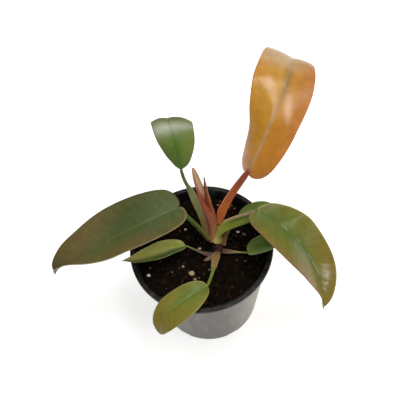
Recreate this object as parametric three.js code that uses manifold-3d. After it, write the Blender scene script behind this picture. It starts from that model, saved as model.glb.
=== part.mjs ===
// A young orange-flushing philodendron in a round black nursery pot.
// Millimetres, +Z up. The origin is the middle of the pot's underside, and -Y is the front.
import * as THREE from 'three';
import { mergeVertices } from 'three/addons/utils/BufferGeometryUtils.js';
import Module from 'manifold-3d';

const wasm = await Module();
wasm.setup();

const gap = 0.4; // clearance between two pieces that touch

const pot = {
  height: 100,
  rimRadius: 60,
  rimDepth: 3.8, // height of the rolled rim's outer face
  rimRound: 1.5, // radius of its rolled edges
  rimWall: 1.4,
  neckRadius: 57, // outside of the wall just under the rim
  footRadius: 43.5, // outside of the wall at the foot
  wall: 1.3,
  floor: 2,
  recess: 1.4, // the ring between the foot and the floor's middle is raised by this
  middleRadius: 17,
  footWidth: 5,
  sides: 48,
  notches: 6, // drainage notches through the foot
  notchWidth: 9,
  notchHeight: 3,
  firstNotch: -67.5, // degrees
  drainHoles: 6,
  drainRadius: 3.5,
  drainCircle: 28,
};

const soil = {
  level: 90,
  mound: 1, // rise towards the stem
  crumbs: 70,
  crumbSize: [2.5, 6.5],
  crumbHeight: 1.6,
  rings: 12,
  sides: 44,
  seed: 11,
};

// The stem: points up its axis, with its radius at each.
const stem = {
  axis: [[14, -1, 66], [14, -1, 82], [13.8, -0.5, 91], [12.9, 1.6, 97], [12.4, 3, 100.5]],
  radius: [4.2, 4.2, 4.3, 4.2, 3],
  node: 0.25, // how far its leaf scars stand out
  holeRadius: 5.5, // the plain hole in the soil that it stands in
};

// Leaves, the outermost first. A petiole's `path` runs from the stem up and ends at the blade's first point.
// `wide`, `thick` and `channel` give its section at even steps, `face` is where its upper side looks, and
// `short` is how far before the blade's first point it stops. A blade's `rib` is the midrib from the petiole to the tip, and `faceBlade` is where its upper side looks
// at its base. The angles, in degrees at even steps along the blade, are `roll`, which turns it about its
// midrib, `fold`, which raises both halves, and `curl`, which bends them down again towards the edge.
// `width` is the left half's and the right half's at even steps, `widest` and `drip` are shares of the length
// from the base and the tip, `tip` is how blunt it ends (0.5 is round), and `lobe` is how far its base
// reaches back.
const leaves = {
  right: {
    color: 0x7a7a35,
    petiole: {
      color: 0x8a9440,
      path: [[13.2, 1.8, 99.4], [16, 5.6, 106], [21, 6.6, 112], [27.7, 5.8, 117.5], [34.8, 4.4, 123],
        [42, 2.4, 129]],
      wide: [8.4, 10, 10.8, 10.2, 9.6, 8.8, 5.4],
      thick: [8.6, 5.4, 3.8, 3.6, 3.4, 3, 2.6],
      channel: [0.2, 2.2, 3, 3, 2.6, 1.8, 1],
      face: [-0.45, 0.2, 0.85],
    },
    rib: [[49, 2, 137], [61, -14, 142], [71, -25, 138], [82, -34, 121], [88.5, -45, 106], [90.5, -55, 95],
      [90, -66, 87]],
    faceBlade: [0, 0, 1],
    roll: [-8, -16, -14],
    fold: [20, 14, 25],
    curl: [16, -8],
    width: [[23, 23], [24, 24]],
    widest: 0.48,
    tip: 0.64,
    drip: 0.03,
    lobe: 8,
    rows: 20,
  },
  upper: {
    color: 0x6a7d36,
    petiole: {
      color: 0x76823c,
      path: [[7.6, 4.4, 101.5], [6.6, 9.6, 108], [5.6, 15, 117.5], [2, 20.5, 131], [-2, 26.5, 144],
        [-5.2, 31, 153]],
      wide: [7, 8.2, 8.8, 8.4, 7.8, 7.2, 5.6, 3, 2.7, 2.6],
      thick: [4, 4, 3.6, 3.2, 2.6, 2.3, 2.3],
      channel: [1.8, 1.8, 1.6, 1.4, 0.8, 0.1, 0.1],
      face: [0.35, -0.6, 0.7],
    },
    rib: [[-6.5, 33, 164], [-8, 37.5, 177], [-8.5, 44.5, 186.5], [-10, 55.5, 190.5], [-11.5, 67.5, 187],
      [-13, 75, 172], [-14, 81, 156]],
    faceBlade: [0, -0.7, 0.6],
    roll: [-20, 18, -4],
    fold: [8, 16, 4],
    curl: [52, 52, 62],
    width: [[15, 13.8, 13.8, 14], [20.4, 20.4]],
    widest: 0.55,
    tip: 0.5,
    drip: 0.03,
    lobe: 0,
    rows: 20,
  },
  left: {
    color: 0x4f5a2e,
    petiole: {
      color: 0x6d7a35,
      path: [[7, 4, 102], [3, 7, 109.5], [-1, 9, 117.5], [-5.5, 10.5, 126.5]],
      wide: [6.4, 6.2, 5.8, 5.2, 4.4],
      thick: [4.4, 4.4, 4, 3.6, 3],
      channel: [0.8, 0.8, 0.6, 0.4, 0.2],
      face: [0.4, 0.5, 0.8],
    },
    rib: [[-14, 14, 141], [-36, 5, 143], [-62, -1, 137], [-87, -8, 130], [-106, -11, 124],
      [-116.5, -13.5, 119], [-119.5, -15.5, 115]],
    faceBlade: [-0.1, 0, 1],
    roll: [-3, 3, 14],
    fold: [22, 18, 34],
    curl: [12, -18],
    width: [[24.5, 24.5], [25.5, 25.5]],
    widest: 0.41,
    tip: 0.59,
    drip: 0.04,
    lobe: 10,
    rows: 22,
  },
  orange: {
    color: 0xc58a36,
    petiole: {
      color: 0xb0552a,
      path: [[17, 11, 111.5], [20.7, 16, 120], [26.3, 20, 129], [32.6, 22.6, 140], [38.9, 23.6, 151]],
      wide: [3.6, 8.4, 7.2, 6.4, 6, 5.4, 3.8],
      thick: [3.2, 4.6, 4.2, 3.6, 2.8],
      channel: [0.6, 1.2, 1, 0.6, 0.3],
      face: [-0.6, -0.4, 0.6],
      short: 5,
    },
    rib: [[46, 24, 164], [53, 30, 175], [61, 38, 186], [69, 48.5, 196.5], [79, 64, 203.5], [87, 82.5, 205.5],
      [93, 101.5, 197.5], [97, 113, 177], [99, 117, 155]],
    faceBlade: [-0.3, -0.6, 0.7],
    roll: [-22, 13, 12],
    fold: [-12, 13, 14],
    curl: [36, 18],
    width: [[34, 20, 26, 27, 26], [22.5, 22.5]],
    widest: 0.42,
    tip: 0.64,
    drip: 0.03,
    lobe: 13,
    rows: 26,
  },
  back: {
    color: 0x5d6f30,
    petiole: {
      color: 0x8a8450,
      path: [[18.5, 0, 94.5], [20.2, 4.5, 97.5], [22.6, 7.4, 100], [26.5, 11, 103.5], [30.5, 14.5, 108]],
      wide: [4.2, 4, 2.6, 1.7, 1.6, 1.6],
      thick: [2.2, 2, 1.7, 1.5, 1.5, 1.5],
      channel: [0.8, 0.6, 0.3, 0.1, 0.1, 0.1],
      face: [0, 0, 1],
    },
    rib: [[33.5, 17, 111.5], [43, 17.5, 115], [56, 15.5, 115.5], [72, 10, 110]],
    faceBlade: [0, 0, 1],
    roll: [0, 0, 0],
    fold: [14, 12, 10],
    curl: [10, 10],
    width: [[8, 8], [8, 8]],
    widest: 0.55,
    tip: 0.75,
    drip: 0.04,
    lobe: 0,
    rows: 14,
  },
  lower_right: {
    color: 0x3f6a2c,
    petiole: {
      color: 0x8a6f50,
      path: [[17, -5, 94], [21, -6.8, 95], [25.5, -8.3, 96], [31, -10, 97]],
      wide: [4.6, 4.4, 2.6, 1.3, 1.3],
      thick: [1.8, 1.8, 1.5, 1.2, 1.2],
      channel: [0.8, 0.7, 0.3, 0.1, 0.1],
      face: [0, 0, 1],
    },
    rib: [[37, -12, 98], [46, -11.5, 103], [58, -10, 105], [70, -8, 103]],
    faceBlade: [0, 0, 1],
    roll: [4, 4, 4],
    fold: [30, 24, 16],
    curl: [20, 20],
    width: [[9, 9], [6.6, 6.6]],
    widest: 0.42,
    tip: 0.65,
    drip: 0.04,
    lobe: 0,
    rows: 14,
  },
  lower_left: {
    color: 0x77883a,
    petiole: {
      color: 0x8a7a4c,
      path: [[9.5, -6.5, 93.5], [4, -6, 94.5], [-1, -4, 95.8], [-7.5, -0.5, 97.5]],
      wide: [3.6, 3.8, 2.4, 1.5, 1.4],
      thick: [1.6, 1.6, 1.5, 1.3, 1.3],
      channel: [0.7, 0.6, 0.2, 0.1, 0.1],
      face: [0, 0, 1],
    },
    rib: [[-13, 2.5, 99], [-24, -2, 106], [-36, -6, 110], [-50, -8, 109.5], [-66, -7, 106]],
    faceBlade: [0, 0, 1],
    roll: [6, 2, 16],
    fold: [26, 8, 6],
    curl: [4, 20],
    width: [[7.4, 7.4], [9, 9]],
    widest: 0.4,
    tip: 0.82,
    drip: 0.04,
    lobe: 1,
    rows: 16,
  },
  front: {
    color: 0x7a7c33,
    petiole: {
      color: 0x8a8444,
      path: [[13.5, -5, 94], [11.5, -9, 96], [9.5, -16, 98], [7, -25, 101], [3.5, -35, 105]],
      wide: [4.6, 7, 5.4, 2.6, 2.5, 2.4],
      thick: [1.8, 2, 2, 2.1, 2.1, 2],
      channel: [1, 1.5, 0.9, 0.2, 0.1, 0.1],
      face: [0, 0.3, 1],
    },
    rib: [[1, -41, 108], [-11, -47, 109], [-24, -54, 108], [-34, -59, 104], [-40, -63.5, 97],
      [-42, -68, 87.5]],
    faceBlade: [0, 0, 1],
    roll: [-5, 4, -5],
    fold: [14, 6, 12],
    curl: [14, 12],
    width: [[15, 15], [12.8, 12.8]],
    widest: 0.49,
    tip: 0.62,
    drip: 0.03,
    lobe: 1,
    rows: 16,
  },
};

// What grows between the petioles: the open sheath of the growing shoot, the new leaf still rolled up beside
// it, and the dry scale of an old leaf at the stem's foot. Their sections are given as a petiole's are.
const shoots = {
  sheath: {
    color: 0xc9806a,
    path: [[9.9, 2.6, 99.2], [11.4, 7.6, 104.5], [12, 12, 110], [11.2, 16.4, 117.5], [9.3, 20.8, 126.5],
      [6.7, 25.2, 137], [4.4, 30, 148.5], [2.6, 35, 163]],
    wide: [7.4, 8.4, 9, 9, 8, 6.8, 5.6, 2.6],
    thick: [7, 7.4, 6.6, 4.8, 2.4, 1.6, 1.3, 1],
    channel: [0.2, 0.3, 0.4, 0.8, 1.8, 2.2, 1.6, 0.6],
    face: [0.4, -0.8, 0.5],
  },
  new_leaf: {
    color: 0x9c4a38,
    path: [[13, 14, 109], [12.8, 17.5, 118.5], [11.6, 20.5, 130], [10.5, 23.5, 146], [10.5, 28.5, 157.5]],
    wide: [4, 5, 5, 3.2, 0.9],
    thick: [3.2, 3.4, 3.2, 2.2, 0.8],
    channel: [0.3, 0.6, 0.5, 0.2, 0],
    face: [-0.6, -0.7, 0.4],
  },
  scale: {
    color: 0x6a5238,
    path: [[10, -8, 95], [7, -9.5, 94.6], [3.6, -10.6, 94.2], [0, -11.5, 94]],
    wide: [3.4, 4.4, 3.2, 0.9],
    thick: [1, 1, 1, 0.9],
    channel: [0.8, 0.9, 0.5, 0],
    face: [0, 0, 1],
  },
};

const blade = { edge: 0.7, ribBase: 2.6, ribTip: 0.5, ribSpread: 1.5 };
const columns = [-1, -0.78, -0.5, -0.2, -0.07, 0, 0.07, 0.2, 0.5, 0.78, 1]; // across a blade, edge to edge
const lobeShare = 0.075; // where along a blade its base reaches back the furthest
const stalkSteps = 12;
const stalkSides = 12; // a multiple of four

const plastic = { color: 0x2b2c2e, roughness: 0.45, metalness: 0 };
const earth = { color: 0x241a14, roughness: 1, metalness: 0 };
const bark = { color: 0x3b231c, roughness: 0.8, metalness: 0 };
const leafFinish = { roughness: 0.4, metalness: 0 };

function seeded(seed) {
  let state = seed;
  return () => {
    state = (state * 1664525 + 1013904223) % 4294967296;
    return state / 4294967296;
  };
}

function mix(a, b, share) {
  return a + (b - a) * share;
}

// A value at `share` of the way along a list of evenly spaced ones, eased between them.
function along(list, share) {
  const x = Math.min(Math.max(share, 0), 1) * (list.length - 1);
  const i = Math.min(Math.floor(x), list.length - 2);
  const f = x - i;
  return mix(list[i], list[i + 1], f * f * (3 - 2 * f));
}

// The closed solid inside a geometry, turned the right way out if it was inside out.
function solidOf(geometry) {
  const bare = geometry.clone();
  bare.deleteAttribute('normal');
  bare.deleteAttribute('uv');
  const merged = mergeVertices(bare, 1e-4);
  const triVerts = [];
  for (let i = 0; i < merged.index.count; i += 3) {
    const [a, b, c] = merged.index.array.slice(i, i + 3);
    if (a !== b && b !== c && a !== c) triVerts.push(a, b, c);
  }
  const made = () => new wasm.Manifold(new wasm.Mesh({
    numProp: 3,
    vertProperties: new Float32Array(merged.attributes.position.array),
    triVerts: new Uint32Array(triVerts),
  }));
  const solid = made();
  if (solid.volume() > 0) return solid;
  triVerts.reverse();
  return made();
}

function solidFrom(points, triangles) {
  const geometry = new THREE.BufferGeometry().setFromPoints(points);
  geometry.setIndex(triangles);
  return solidOf(geometry);
}

function geometryOf(solid) {
  const { numProp, numVert, vertProperties, triVerts } = solid.getMesh();
  const position = new Float32Array(numVert * 3);
  for (let i = 0; i < numVert; i++) {
    position.set(vertProperties.subarray(i * numProp, i * numProp + 3), i * 3);
  }
  const geometry = new THREE.BufferGeometry();
  geometry.setAttribute('position', new THREE.BufferAttribute(position, 3));
  geometry.setIndex(new THREE.BufferAttribute(triVerts, 1));
  geometry.computeVertexNormals();
  return geometry;
}

// A solid swollen by the clearance between two pieces, to cut a neighbour with.
function swollen(solid) {
  const geometry = geometryOf(solid);
  const { position, normal } = geometry.attributes;
  for (let i = 0; i < position.array.length; i++) position.array[i] += gap * normal.array[i];
  return solidOf(geometry);
}

// What is left of a solid when others are cut from it: its largest body.
function cut(solid, cutters) {
  const left = cutters.reduce((rest, cutter) => rest.subtract(cutter), solid);
  return left.decompose().sort((a, b) => b.volume() - a.volume())[0];
}

// Frames carried along a smooth line through points. `at` gives the place, forward, side and up directions
// at a share of its length, and goes straight on past its ends.
function lineThrough(points, face, roll = [0, 0]) {
  const curve = new THREE.CatmullRomCurve3(points.map((p) => new THREE.Vector3(...p)), false, 'centripetal');
  const steps = 60;
  const frames = [];
  for (let i = 0; i <= steps; i++) {
    const forward = curve.getTangentAt(i / steps).normalize();
    const up = i ? frames[i - 1].up.clone() : new THREE.Vector3(...face);
    up.addScaledVector(forward, -up.dot(forward)).normalize();
    frames.push({ place: curve.getPointAt(i / steps), forward, up });
  }
  const length = curve.getLength();
  const at = (share) => {
    const inside = Math.min(Math.max(share, 0), 1);
    const i = Math.min(Math.floor(inside * steps), steps - 1);
    const f = inside * steps - i;
    const [a, b] = [frames[i], frames[i + 1]];
    const forward = a.forward.clone().lerp(b.forward, f).normalize();
    const turn = THREE.MathUtils.degToRad(along(roll, share));
    const up = a.up.clone().lerp(b.up, f).applyAxisAngle(forward, turn);
    up.addScaledVector(forward, -up.dot(forward)).normalize();
    const place = a.place.clone().lerp(b.place, f).addScaledVector(forward, (share - inside) * length);
    return { place, forward, up, side: new THREE.Vector3().crossVectors(forward, up) };
  };
  return { at, length };
}

// Skins a row of closed rings and caps both ends, each from a point halfway between two facing ring points.
function loft(rings) {
  const points = rings.flat();
  const n = rings[0].length;
  const triangles = [];
  for (let i = 0; i + 1 < rings.length; i++) {
    for (let j = 0; j < n; j++) {
      const [a, b] = [i * n + j, i * n + ((j + 1) % n)];
      triangles.push(a, b, a + n, b, b + n, a + n);
    }
  }
  for (const [ring, flip] of [[0, true], [rings.length - 1, false]]) {
    const centre = points.length;
    points.push(rings[ring][n / 4].clone().lerp(rings[ring][(3 * n) / 4], 0.5));
    for (let j = 0; j < n; j++) {
      const [a, b] = [ring * n + j, ring * n + ((j + 1) % n)];
      triangles.push(centre, ...(flip ? [b, a] : [a, b]));
    }
  }
  return solidFrom(points, triangles);
}

// A stalk or sheath whose section is an ellipse bent into a crescent, open on its upper side. It stops
// `short` of its line's end.
function stalkSolid({ path, wide, thick, channel, face, short = 0 }) {
  const line = lineThrough(path, face);
  const rings = [];
  for (let i = 0; i <= stalkSteps; i++) {
    const share = (i / stalkSteps) * (1 - short / line.length);
    const { place, side, up } = line.at(share);
    const ring = [];
    for (let j = 0; j < stalkSides; j++) {
      const turn = (2 * Math.PI * j) / stalkSides;
      const out = (along(wide, share) / 2) * Math.cos(turn);
      const bend = along(channel, share) * (Math.cos(turn) ** 2 - 0.35);
      const rise = (along(thick, share) / 2) * Math.sin(turn) + bend;
      ring.push(place.clone().addScaledVector(side, out).addScaledVector(up, rise));
    }
    rings.push(ring);
  }
  return loft(rings);
}

// The flat outline of half a blade at `c` from base to tip: how far along the midrib, and what share of its
// width. The base swells back round the petiole, and the tip runs out in a narrow drip.
function outline({ widest, tip, lobe, drip }, length, c) {
  const body = Math.min(c / (1 - drip / 2), 1);
  const base = (tip * widest) / (1 - widest);
  const swell = ((body / widest) ** base) * (((1 - body) / (1 - widest)) ** tip);
  const opening = 1 - Math.exp(-((c / (lobe > 2 ? 0.05 : 0.02)) ** 1.6));
  const tail = 0.05 * Math.min((1 - c) / drip, 1) * Math.min(4 * c, 1);
  const back = lobe * (c / lobeShare) * Math.exp(1 - c / lobeShare);
  return { along: length * c - back, out: Math.hypot(swell * opening, tail) };
}

// A point of a blade's middle surface: `c` from base to tip, and `v` from -1 at the left edge to 1.
function bladePoint(leaf, line, c, v) {
  const edge = outline(leaf, line.length, c);
  const reach = Math.abs(v);
  const half = along(leaf.width[v < 0 ? 0 : 1], c) * edge.out;
  const { place, side, up } = line.at(mix(line.length * c, edge.along, reach ** 1.3) / line.length);
  const rise = THREE.MathUtils.degToRad(along(leaf.fold, c));
  const curl = THREE.MathUtils.degToRad(along(leaf.curl, c)) || 1e-4;
  const out = (half / curl) * (Math.sin(rise) - Math.sin(rise - curl * reach));
  const lift = (half / curl) * (Math.cos(rise - curl * reach) - Math.cos(rise));
  return place.addScaledVector(side, Math.sign(v) * out).addScaledVector(up, lift);
}

// A blade's normal on its upper side, from points close by and just inside the edge.
function bladeNormal(leaf, line, c, v) {
  const [middle, inner, step] = [Math.min(Math.max(c, 0.01), 0.98), v * 0.98, 0.004];
  const lengthwise = bladePoint(leaf, line, middle + step, inner)
    .sub(bladePoint(leaf, line, middle - step, inner));
  const across = bladePoint(leaf, line, middle, inner + 5 * step)
    .sub(bladePoint(leaf, line, middle, inner - 5 * step));
  const normal = lengthwise.cross(across).normalize();
  return normal.dot(line.at(c).up) < 0 ? normal.negate() : normal;
}

// A blade as a thin solid, a row of points for each step from base to tip. Both faces are split alike, and
// the underside stands out in a ridge along the midrib.
function bladeSolid(leaf) {
  const line = lineThrough(leaf.rib, leaf.faceBlade, leaf.roll);
  const [upper, lower] = [[], []];
  for (let i = 0; i <= leaf.rows; i++) {
    const c = (1 - Math.cos((Math.PI * i) / leaf.rows)) / 2;
    const atEnd = i === 0 || i === leaf.rows;
    const [top, under] = [[], []];
    for (const v of atEnd ? [0] : columns) {
      const normal = bladeNormal(leaf, line, c, v);
      const fromRib = Math.abs(v) * along(leaf.width[0], c) * outline(leaf, line.length, c).out;
      const ribDepth = mix(blade.ribBase, blade.ribTip, c ** 0.7);
      const ridge = ribDepth * Math.exp(-((fromRib / blade.ribSpread) ** 2));
      const middle = bladePoint(leaf, line, c, v);
      top.push(middle.clone().addScaledVector(normal, blade.edge / 2));
      under.push(middle.addScaledVector(normal, -blade.edge / 2 - ridge));
    }
    upper.push(top);
    lower.push(under);
  }
  return sheetSolid(upper, lower);
}

// Closes two like grids of rows, whose first and last rows are single points, into one solid.
function sheetSolid(upper, lower) {
  const points = [];
  const triangles = [];
  const [top, under] = [upper, lower].map((rows) => rows.map((row) => row.map((p) => points.push(p) - 1)));
  for (const [rows, flip] of [[top, false], [under, true]]) {
    const add = (a, b, c) => triangles.push(...(flip ? [a, c, b] : [a, b, c]));
    for (let i = 0; i + 1 < rows.length; i++) {
      const [now, next] = [rows[i], rows[i + 1]];
      for (let j = 0; j + 1 < columns.length; j++) {
        if (now.length > 1) add(now[j], now[j + 1], next[j] ?? next[0]);
        if (next.length > 1) add(now[j + 1] ?? now[0], next[j + 1], next[j]);
      }
    }
  }
  for (let i = 0; i + 1 < top.length; i++) {
    const [a, b, c, d] = [top[i][0], top[i + 1][0], under[i][0], under[i + 1][0]];
    triangles.push(a, b, c, b, d, c);
    const [e, f, g, h] = [top[i].at(-1), top[i + 1].at(-1), under[i].at(-1), under[i + 1].at(-1)];
    triangles.push(e, g, f, f, g, h);
  }
  return solidFrom(points, triangles);
}

function turnedCutter(geometry, x, degrees) {
  geometry.translate(x, 0, 0);
  geometry.rotateZ(THREE.MathUtils.degToRad(degrees));
  return solidOf(geometry);
}

function potSolid() {
  const { height, rimRadius, rimDepth, rimRound, rimWall, neckRadius, footRadius, wall } = pot;
  const underRim = height - rimDepth;
  const inner = neckRadius - wall;
  const floorTop = pot.recess + pot.floor;
  const profile = [
    [0, 0], [pot.middleRadius, 0], [pot.middleRadius + pot.recess, pot.recess],
    [footRadius - pot.footWidth - pot.recess, pot.recess], [footRadius - pot.footWidth, 0],
    [footRadius - 1.4, 0], [footRadius, 1.4], [neckRadius, underRim + rimWall],
    [rimRadius - rimWall, underRim + rimWall], [rimRadius - rimWall, underRim],
    [rimRadius - 0.4, underRim], [rimRadius, underRim + 0.4], [rimRadius, height - rimRound],
    [rimRadius - 0.3 * rimRound, height - 0.3 * rimRound], [rimRadius - rimRound, height],
    [inner + rimRound, height], [inner + 0.3 * rimRound, height - 0.3 * rimRound], [inner, height - rimRound],
    [footRadius - wall + 0.3, floorTop + 1.5], [footRadius - wall - 1.2, floorTop], [0, floorTop],
  ];
  const turned = new THREE.LatheGeometry(profile.map(([r, z]) => new THREE.Vector2(r, z)), pot.sides);
  turned.rotateX(Math.PI / 2);
  const cutters = [];
  for (let i = 0; i < pot.notches; i++) {
    const notch = new THREE.BoxGeometry(4 * pot.footWidth, pot.notchWidth, 2 * pot.notchHeight);
    cutters.push(turnedCutter(notch, footRadius, pot.firstNotch + (i * 360) / pot.notches));
  }
  for (let i = 0; i < pot.drainHoles; i++) {
    const hole = new THREE.CylinderGeometry(pot.drainRadius, pot.drainRadius, 6 * floorTop, 16);
    hole.rotateX(Math.PI / 2);
    cutters.push(turnedCutter(hole, pot.drainCircle, (i * 360) / pot.drainHoles));
  }
  return cut(solidOf(turned), cutters);
}

// The potting mix: fills the pot, with a crumbly top raised by seeded bumps.
function soilSolid() {
  const random = seeded(soil.seed);
  const low = pot.recess + pot.floor + gap;
  const radiusAt = (z) => mix(pot.footRadius, pot.neckRadius, z / pot.height) - pot.wall - 2 * gap;
  const topRadius = radiusAt(soil.level);
  const crumbs = Array.from({ length: soil.crumbs }, () => {
    const [turn, out] = [random() * 2 * Math.PI, Math.sqrt(random()) * topRadius];
    return {
      x: out * Math.cos(turn),
      y: out * Math.sin(turn),
      size: mix(...soil.crumbSize, random()),
      height: mix(-0.6, 1, random()) * soil.crumbHeight,
    };
  });
  const heightAt = (x, y) => {
    const fromStem = Math.hypot(x - stem.axis[0][0], y - stem.axis[0][1]);
    let z = soil.level + soil.mound * Math.exp(-((fromStem / 26) ** 2));
    z += 0.5 * Math.sin(x / 9) * Math.cos(y / 7);
    for (const crumb of crumbs) {
      const away = Math.hypot(x - crumb.x, y - crumb.y) / crumb.size;
      if (away < 2) z += crumb.height * Math.exp(-1.6 * away * away);
    }
    return z;
  };
  const ring = (radius, z) => Array.from({ length: soil.sides }, (_, j) => {
    const turn = (2 * Math.PI * j) / soil.sides;
    const [x, y] = [radius * Math.cos(turn), radius * Math.sin(turn)];
    return new THREE.Vector3(x, y, z ?? heightAt(x, y));
  });
  const rings = [ring(radiusAt(low) - 2, low), ring(radiusAt(low + 3), low + 3)];
  for (let i = 0; i < soil.rings; i++) rings.push(ring(topRadius * (1 - i / soil.rings) ** 0.9));
  const hole = new THREE.CylinderGeometry(stem.holeRadius, stem.holeRadius, 60, 16);
  hole.rotateX(Math.PI / 2);
  hole.translate(stem.axis[0][0], stem.axis[0][1], stem.axis[0][2] - gap + 30);
  return cut(loft(rings), [solidOf(hole)]);
}

function stemSolid() {
  const line = lineThrough(stem.axis, [0, -1, 0]);
  const rings = [];
  for (let i = 0; i <= stalkSteps; i++) {
    const { place, side, up } = line.at(i / stalkSteps);
    const radius = along(stem.radius, i / stalkSteps) + stem.node * Math.sin(i * 2.1);
    rings.push(Array.from({ length: stalkSides }, (_, j) => {
      const turn = (2 * Math.PI * j) / stalkSides;
      return place.clone()
        .addScaledVector(side, radius * Math.cos(turn))
        .addScaledVector(up, radius * Math.sin(turn));
    }));
  }
  return loft(rings);
}

const plant = new THREE.Group();

function add(name, solid, finish) {
  const mesh = new THREE.Mesh(geometryOf(solid), new THREE.MeshStandardMaterial(finish));
  mesh.name = name;
  plant.add(mesh);
}

add('pot', potSolid(), plastic);
add('soil', soilSolid(), earth);
add('stem', stemSolid(), bark);

// Each stalk is cut clear of the blade that it carries and of the stalks before it in this list.
const order = ['sheath', 'right', 'upper', 'left', 'new_leaf', 'orange', 'back', 'lower_right', 'lower_left',
  'front', 'scale'];
const taken = [swollen(stemSolid())];
for (const name of order) {
  const leaf = leaves[name];
  const stalk = leaf ? { ...leaf.petiole, path: [...leaf.petiole.path, leaf.rib[0]] } : shoots[name];
  const whole = stalkSolid(stalk);
  const cutters = [...taken];
  if (leaf) {
    const lamina = bladeSolid(leaf);
    add(`blade_${name}`, lamina, { color: leaf.color, ...leafFinish });
    cutters.push(swollen(lamina));
  }
  add(leaf ? `petiole_${name}` : name, cut(whole, cutters), { color: stalk.color, ...leafFinish });
  taken.push(swollen(whole));
}

export default plant;
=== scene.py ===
# A young philodendron with orange and olive leaves, in a 12 cm black nursery pot.
# Sizes in the dictionaries are millimetres, angles are degrees, and colours are sRGB hex.
import math

import bmesh
import bpy
import numpy as np
from mathutils import Matrix, Quaternion, Vector, noise


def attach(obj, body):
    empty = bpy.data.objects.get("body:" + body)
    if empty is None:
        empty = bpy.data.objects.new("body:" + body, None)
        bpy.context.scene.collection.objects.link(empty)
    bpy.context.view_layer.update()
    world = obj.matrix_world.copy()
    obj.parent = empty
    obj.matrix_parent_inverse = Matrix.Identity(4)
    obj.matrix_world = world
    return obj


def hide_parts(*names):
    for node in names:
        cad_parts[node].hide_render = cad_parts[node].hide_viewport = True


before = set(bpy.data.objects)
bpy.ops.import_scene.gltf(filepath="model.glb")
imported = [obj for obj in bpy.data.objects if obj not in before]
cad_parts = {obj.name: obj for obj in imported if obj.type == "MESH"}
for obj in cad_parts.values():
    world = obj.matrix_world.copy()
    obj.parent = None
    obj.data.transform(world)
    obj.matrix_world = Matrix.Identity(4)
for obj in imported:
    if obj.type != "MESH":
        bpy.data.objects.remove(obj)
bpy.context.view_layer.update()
print("frame loaded:", len(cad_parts), "nodes")

millimetre = 0.001


def toLinear(hexColour):
    channels = [int(hexColour[i:i + 2], 16) / 255 for i in (1, 3, 5)]
    return [c / 12.92 if c <= 0.04045 else ((c + 0.055) / 1.055) ** 2.4 for c in channels]


def rgba(hexColour):
    return (*toLinear(hexColour), 1.0)


def mix(a, b, share):
    return a + (b - a) * share


def along(values, share):
    # a value at a share of the way along evenly spaced ones, eased between them
    values = np.asarray(values, float)
    x = np.clip(share, 0, 1) * (len(values) - 1)
    i = np.minimum(np.floor(x).astype(int), len(values) - 2)
    f = x - i
    return mix(values[i], values[i + 1], f * f * (3 - 2 * f))


def unit(vectors):
    return vectors / np.linalg.norm(vectors, axis=-1, keepdims=True)


def addNode(tree, kind, settings=None, inputs=None):
    # one node with its settings, its unlinked values and its links; "stops" fills a colour ramp
    node = tree.nodes.new(kind)
    for name, value in (settings or {}).items():
        if name == "stops":
            elements = node.color_ramp.elements
            while len(elements) < len(value):
                elements.new(1.0)
            for element, (place, colour) in zip(elements, value):
                element.position = place
                element.color = colour
        else:
            setattr(node, name, value)
    for key, value in (inputs or {}).items():
        if isinstance(value, bpy.types.NodeSocket):
            tree.links.new(value, node.inputs[key])
        else:
            node.inputs[key].default_value = value
    return node


def newMaterial(name):
    material = bpy.data.materials.new(name)
    material.use_nodes = True
    tree = material.node_tree
    tree.nodes.clear()
    return material, tree


def finishMaterial(tree, inputs):
    # inputs go to a Principled BSDF, which is the material's surface
    shader = addNode(tree, "ShaderNodeBsdfPrincipled", None, inputs)
    addNode(tree, "ShaderNodeOutputMaterial", None, {"Surface": shader.outputs[0]})


def addObject(name, data):
    made = bpy.data.objects.new(name, data)
    bpy.context.scene.collection.objects.link(made)
    return made


def meshPiece(name, points, faces, material, attributes=None):
    # points in millimetres; attributes are one colour or vector for each point
    mesh = bpy.data.meshes.new(name)
    mesh.from_pydata((np.asarray(points) * millimetre).tolist(), [], faces)
    mesh.validate()
    for key, values in (attributes or {}).items():
        kind, field = ("FLOAT_COLOR", "color") if values.shape[1] == 4 else ("FLOAT_VECTOR", "vector")
        mesh.attributes.new(key, kind, "POINT").data.foreach_set(field, values.ravel())
    mesh.materials.append(material)
    # doubled points are merged, then every face is turned outwards
    shell = bmesh.new()
    shell.from_mesh(mesh)
    bmesh.ops.remove_doubles(shell, verts=shell.verts, dist=1e-6)
    bmesh.ops.recalc_face_normals(shell, faces=shell.faces)
    shell.to_mesh(mesh)
    shell.free()
    mesh.shade_smooth()
    return addObject(name, mesh)


def settle(piece, node):
    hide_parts(node)
    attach(piece, "root")


def smoothCurve(points, count=240):
    # the line that a leaf or stalk follows: centripetal Catmull-Rom through the points
    points = np.asarray(points, float)
    last = len(points) - 1
    places = []
    for t in np.linspace(0, last, count + 1):
        i = min(int(t), last - 1)
        w = t - i
        p1, p2 = points[i], points[i + 1]
        p0 = points[i - 1] if i else 2 * p1 - p2
        p3 = points[i + 2] if i + 2 <= last else 2 * p2 - p1
        d0, d1, d2 = [np.linalg.norm(b - a) ** 0.5 for a, b in ((p0, p1), (p1, p2), (p2, p3))]
        t1 = ((p1 - p0) / d0 - (p2 - p0) / (d0 + d1) + (p2 - p1) / d1) * d1
        t2 = ((p2 - p1) / d1 - (p3 - p1) / (d1 + d2) + (p3 - p2) / d2) * d1
        places.append(p1 + t1 * w + (3 * (p2 - p1) - 2 * t1 - t2) * w * w
                      + (2 * (p1 - p2) + t1 + t2) * w ** 3)
    return np.array(places)


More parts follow.
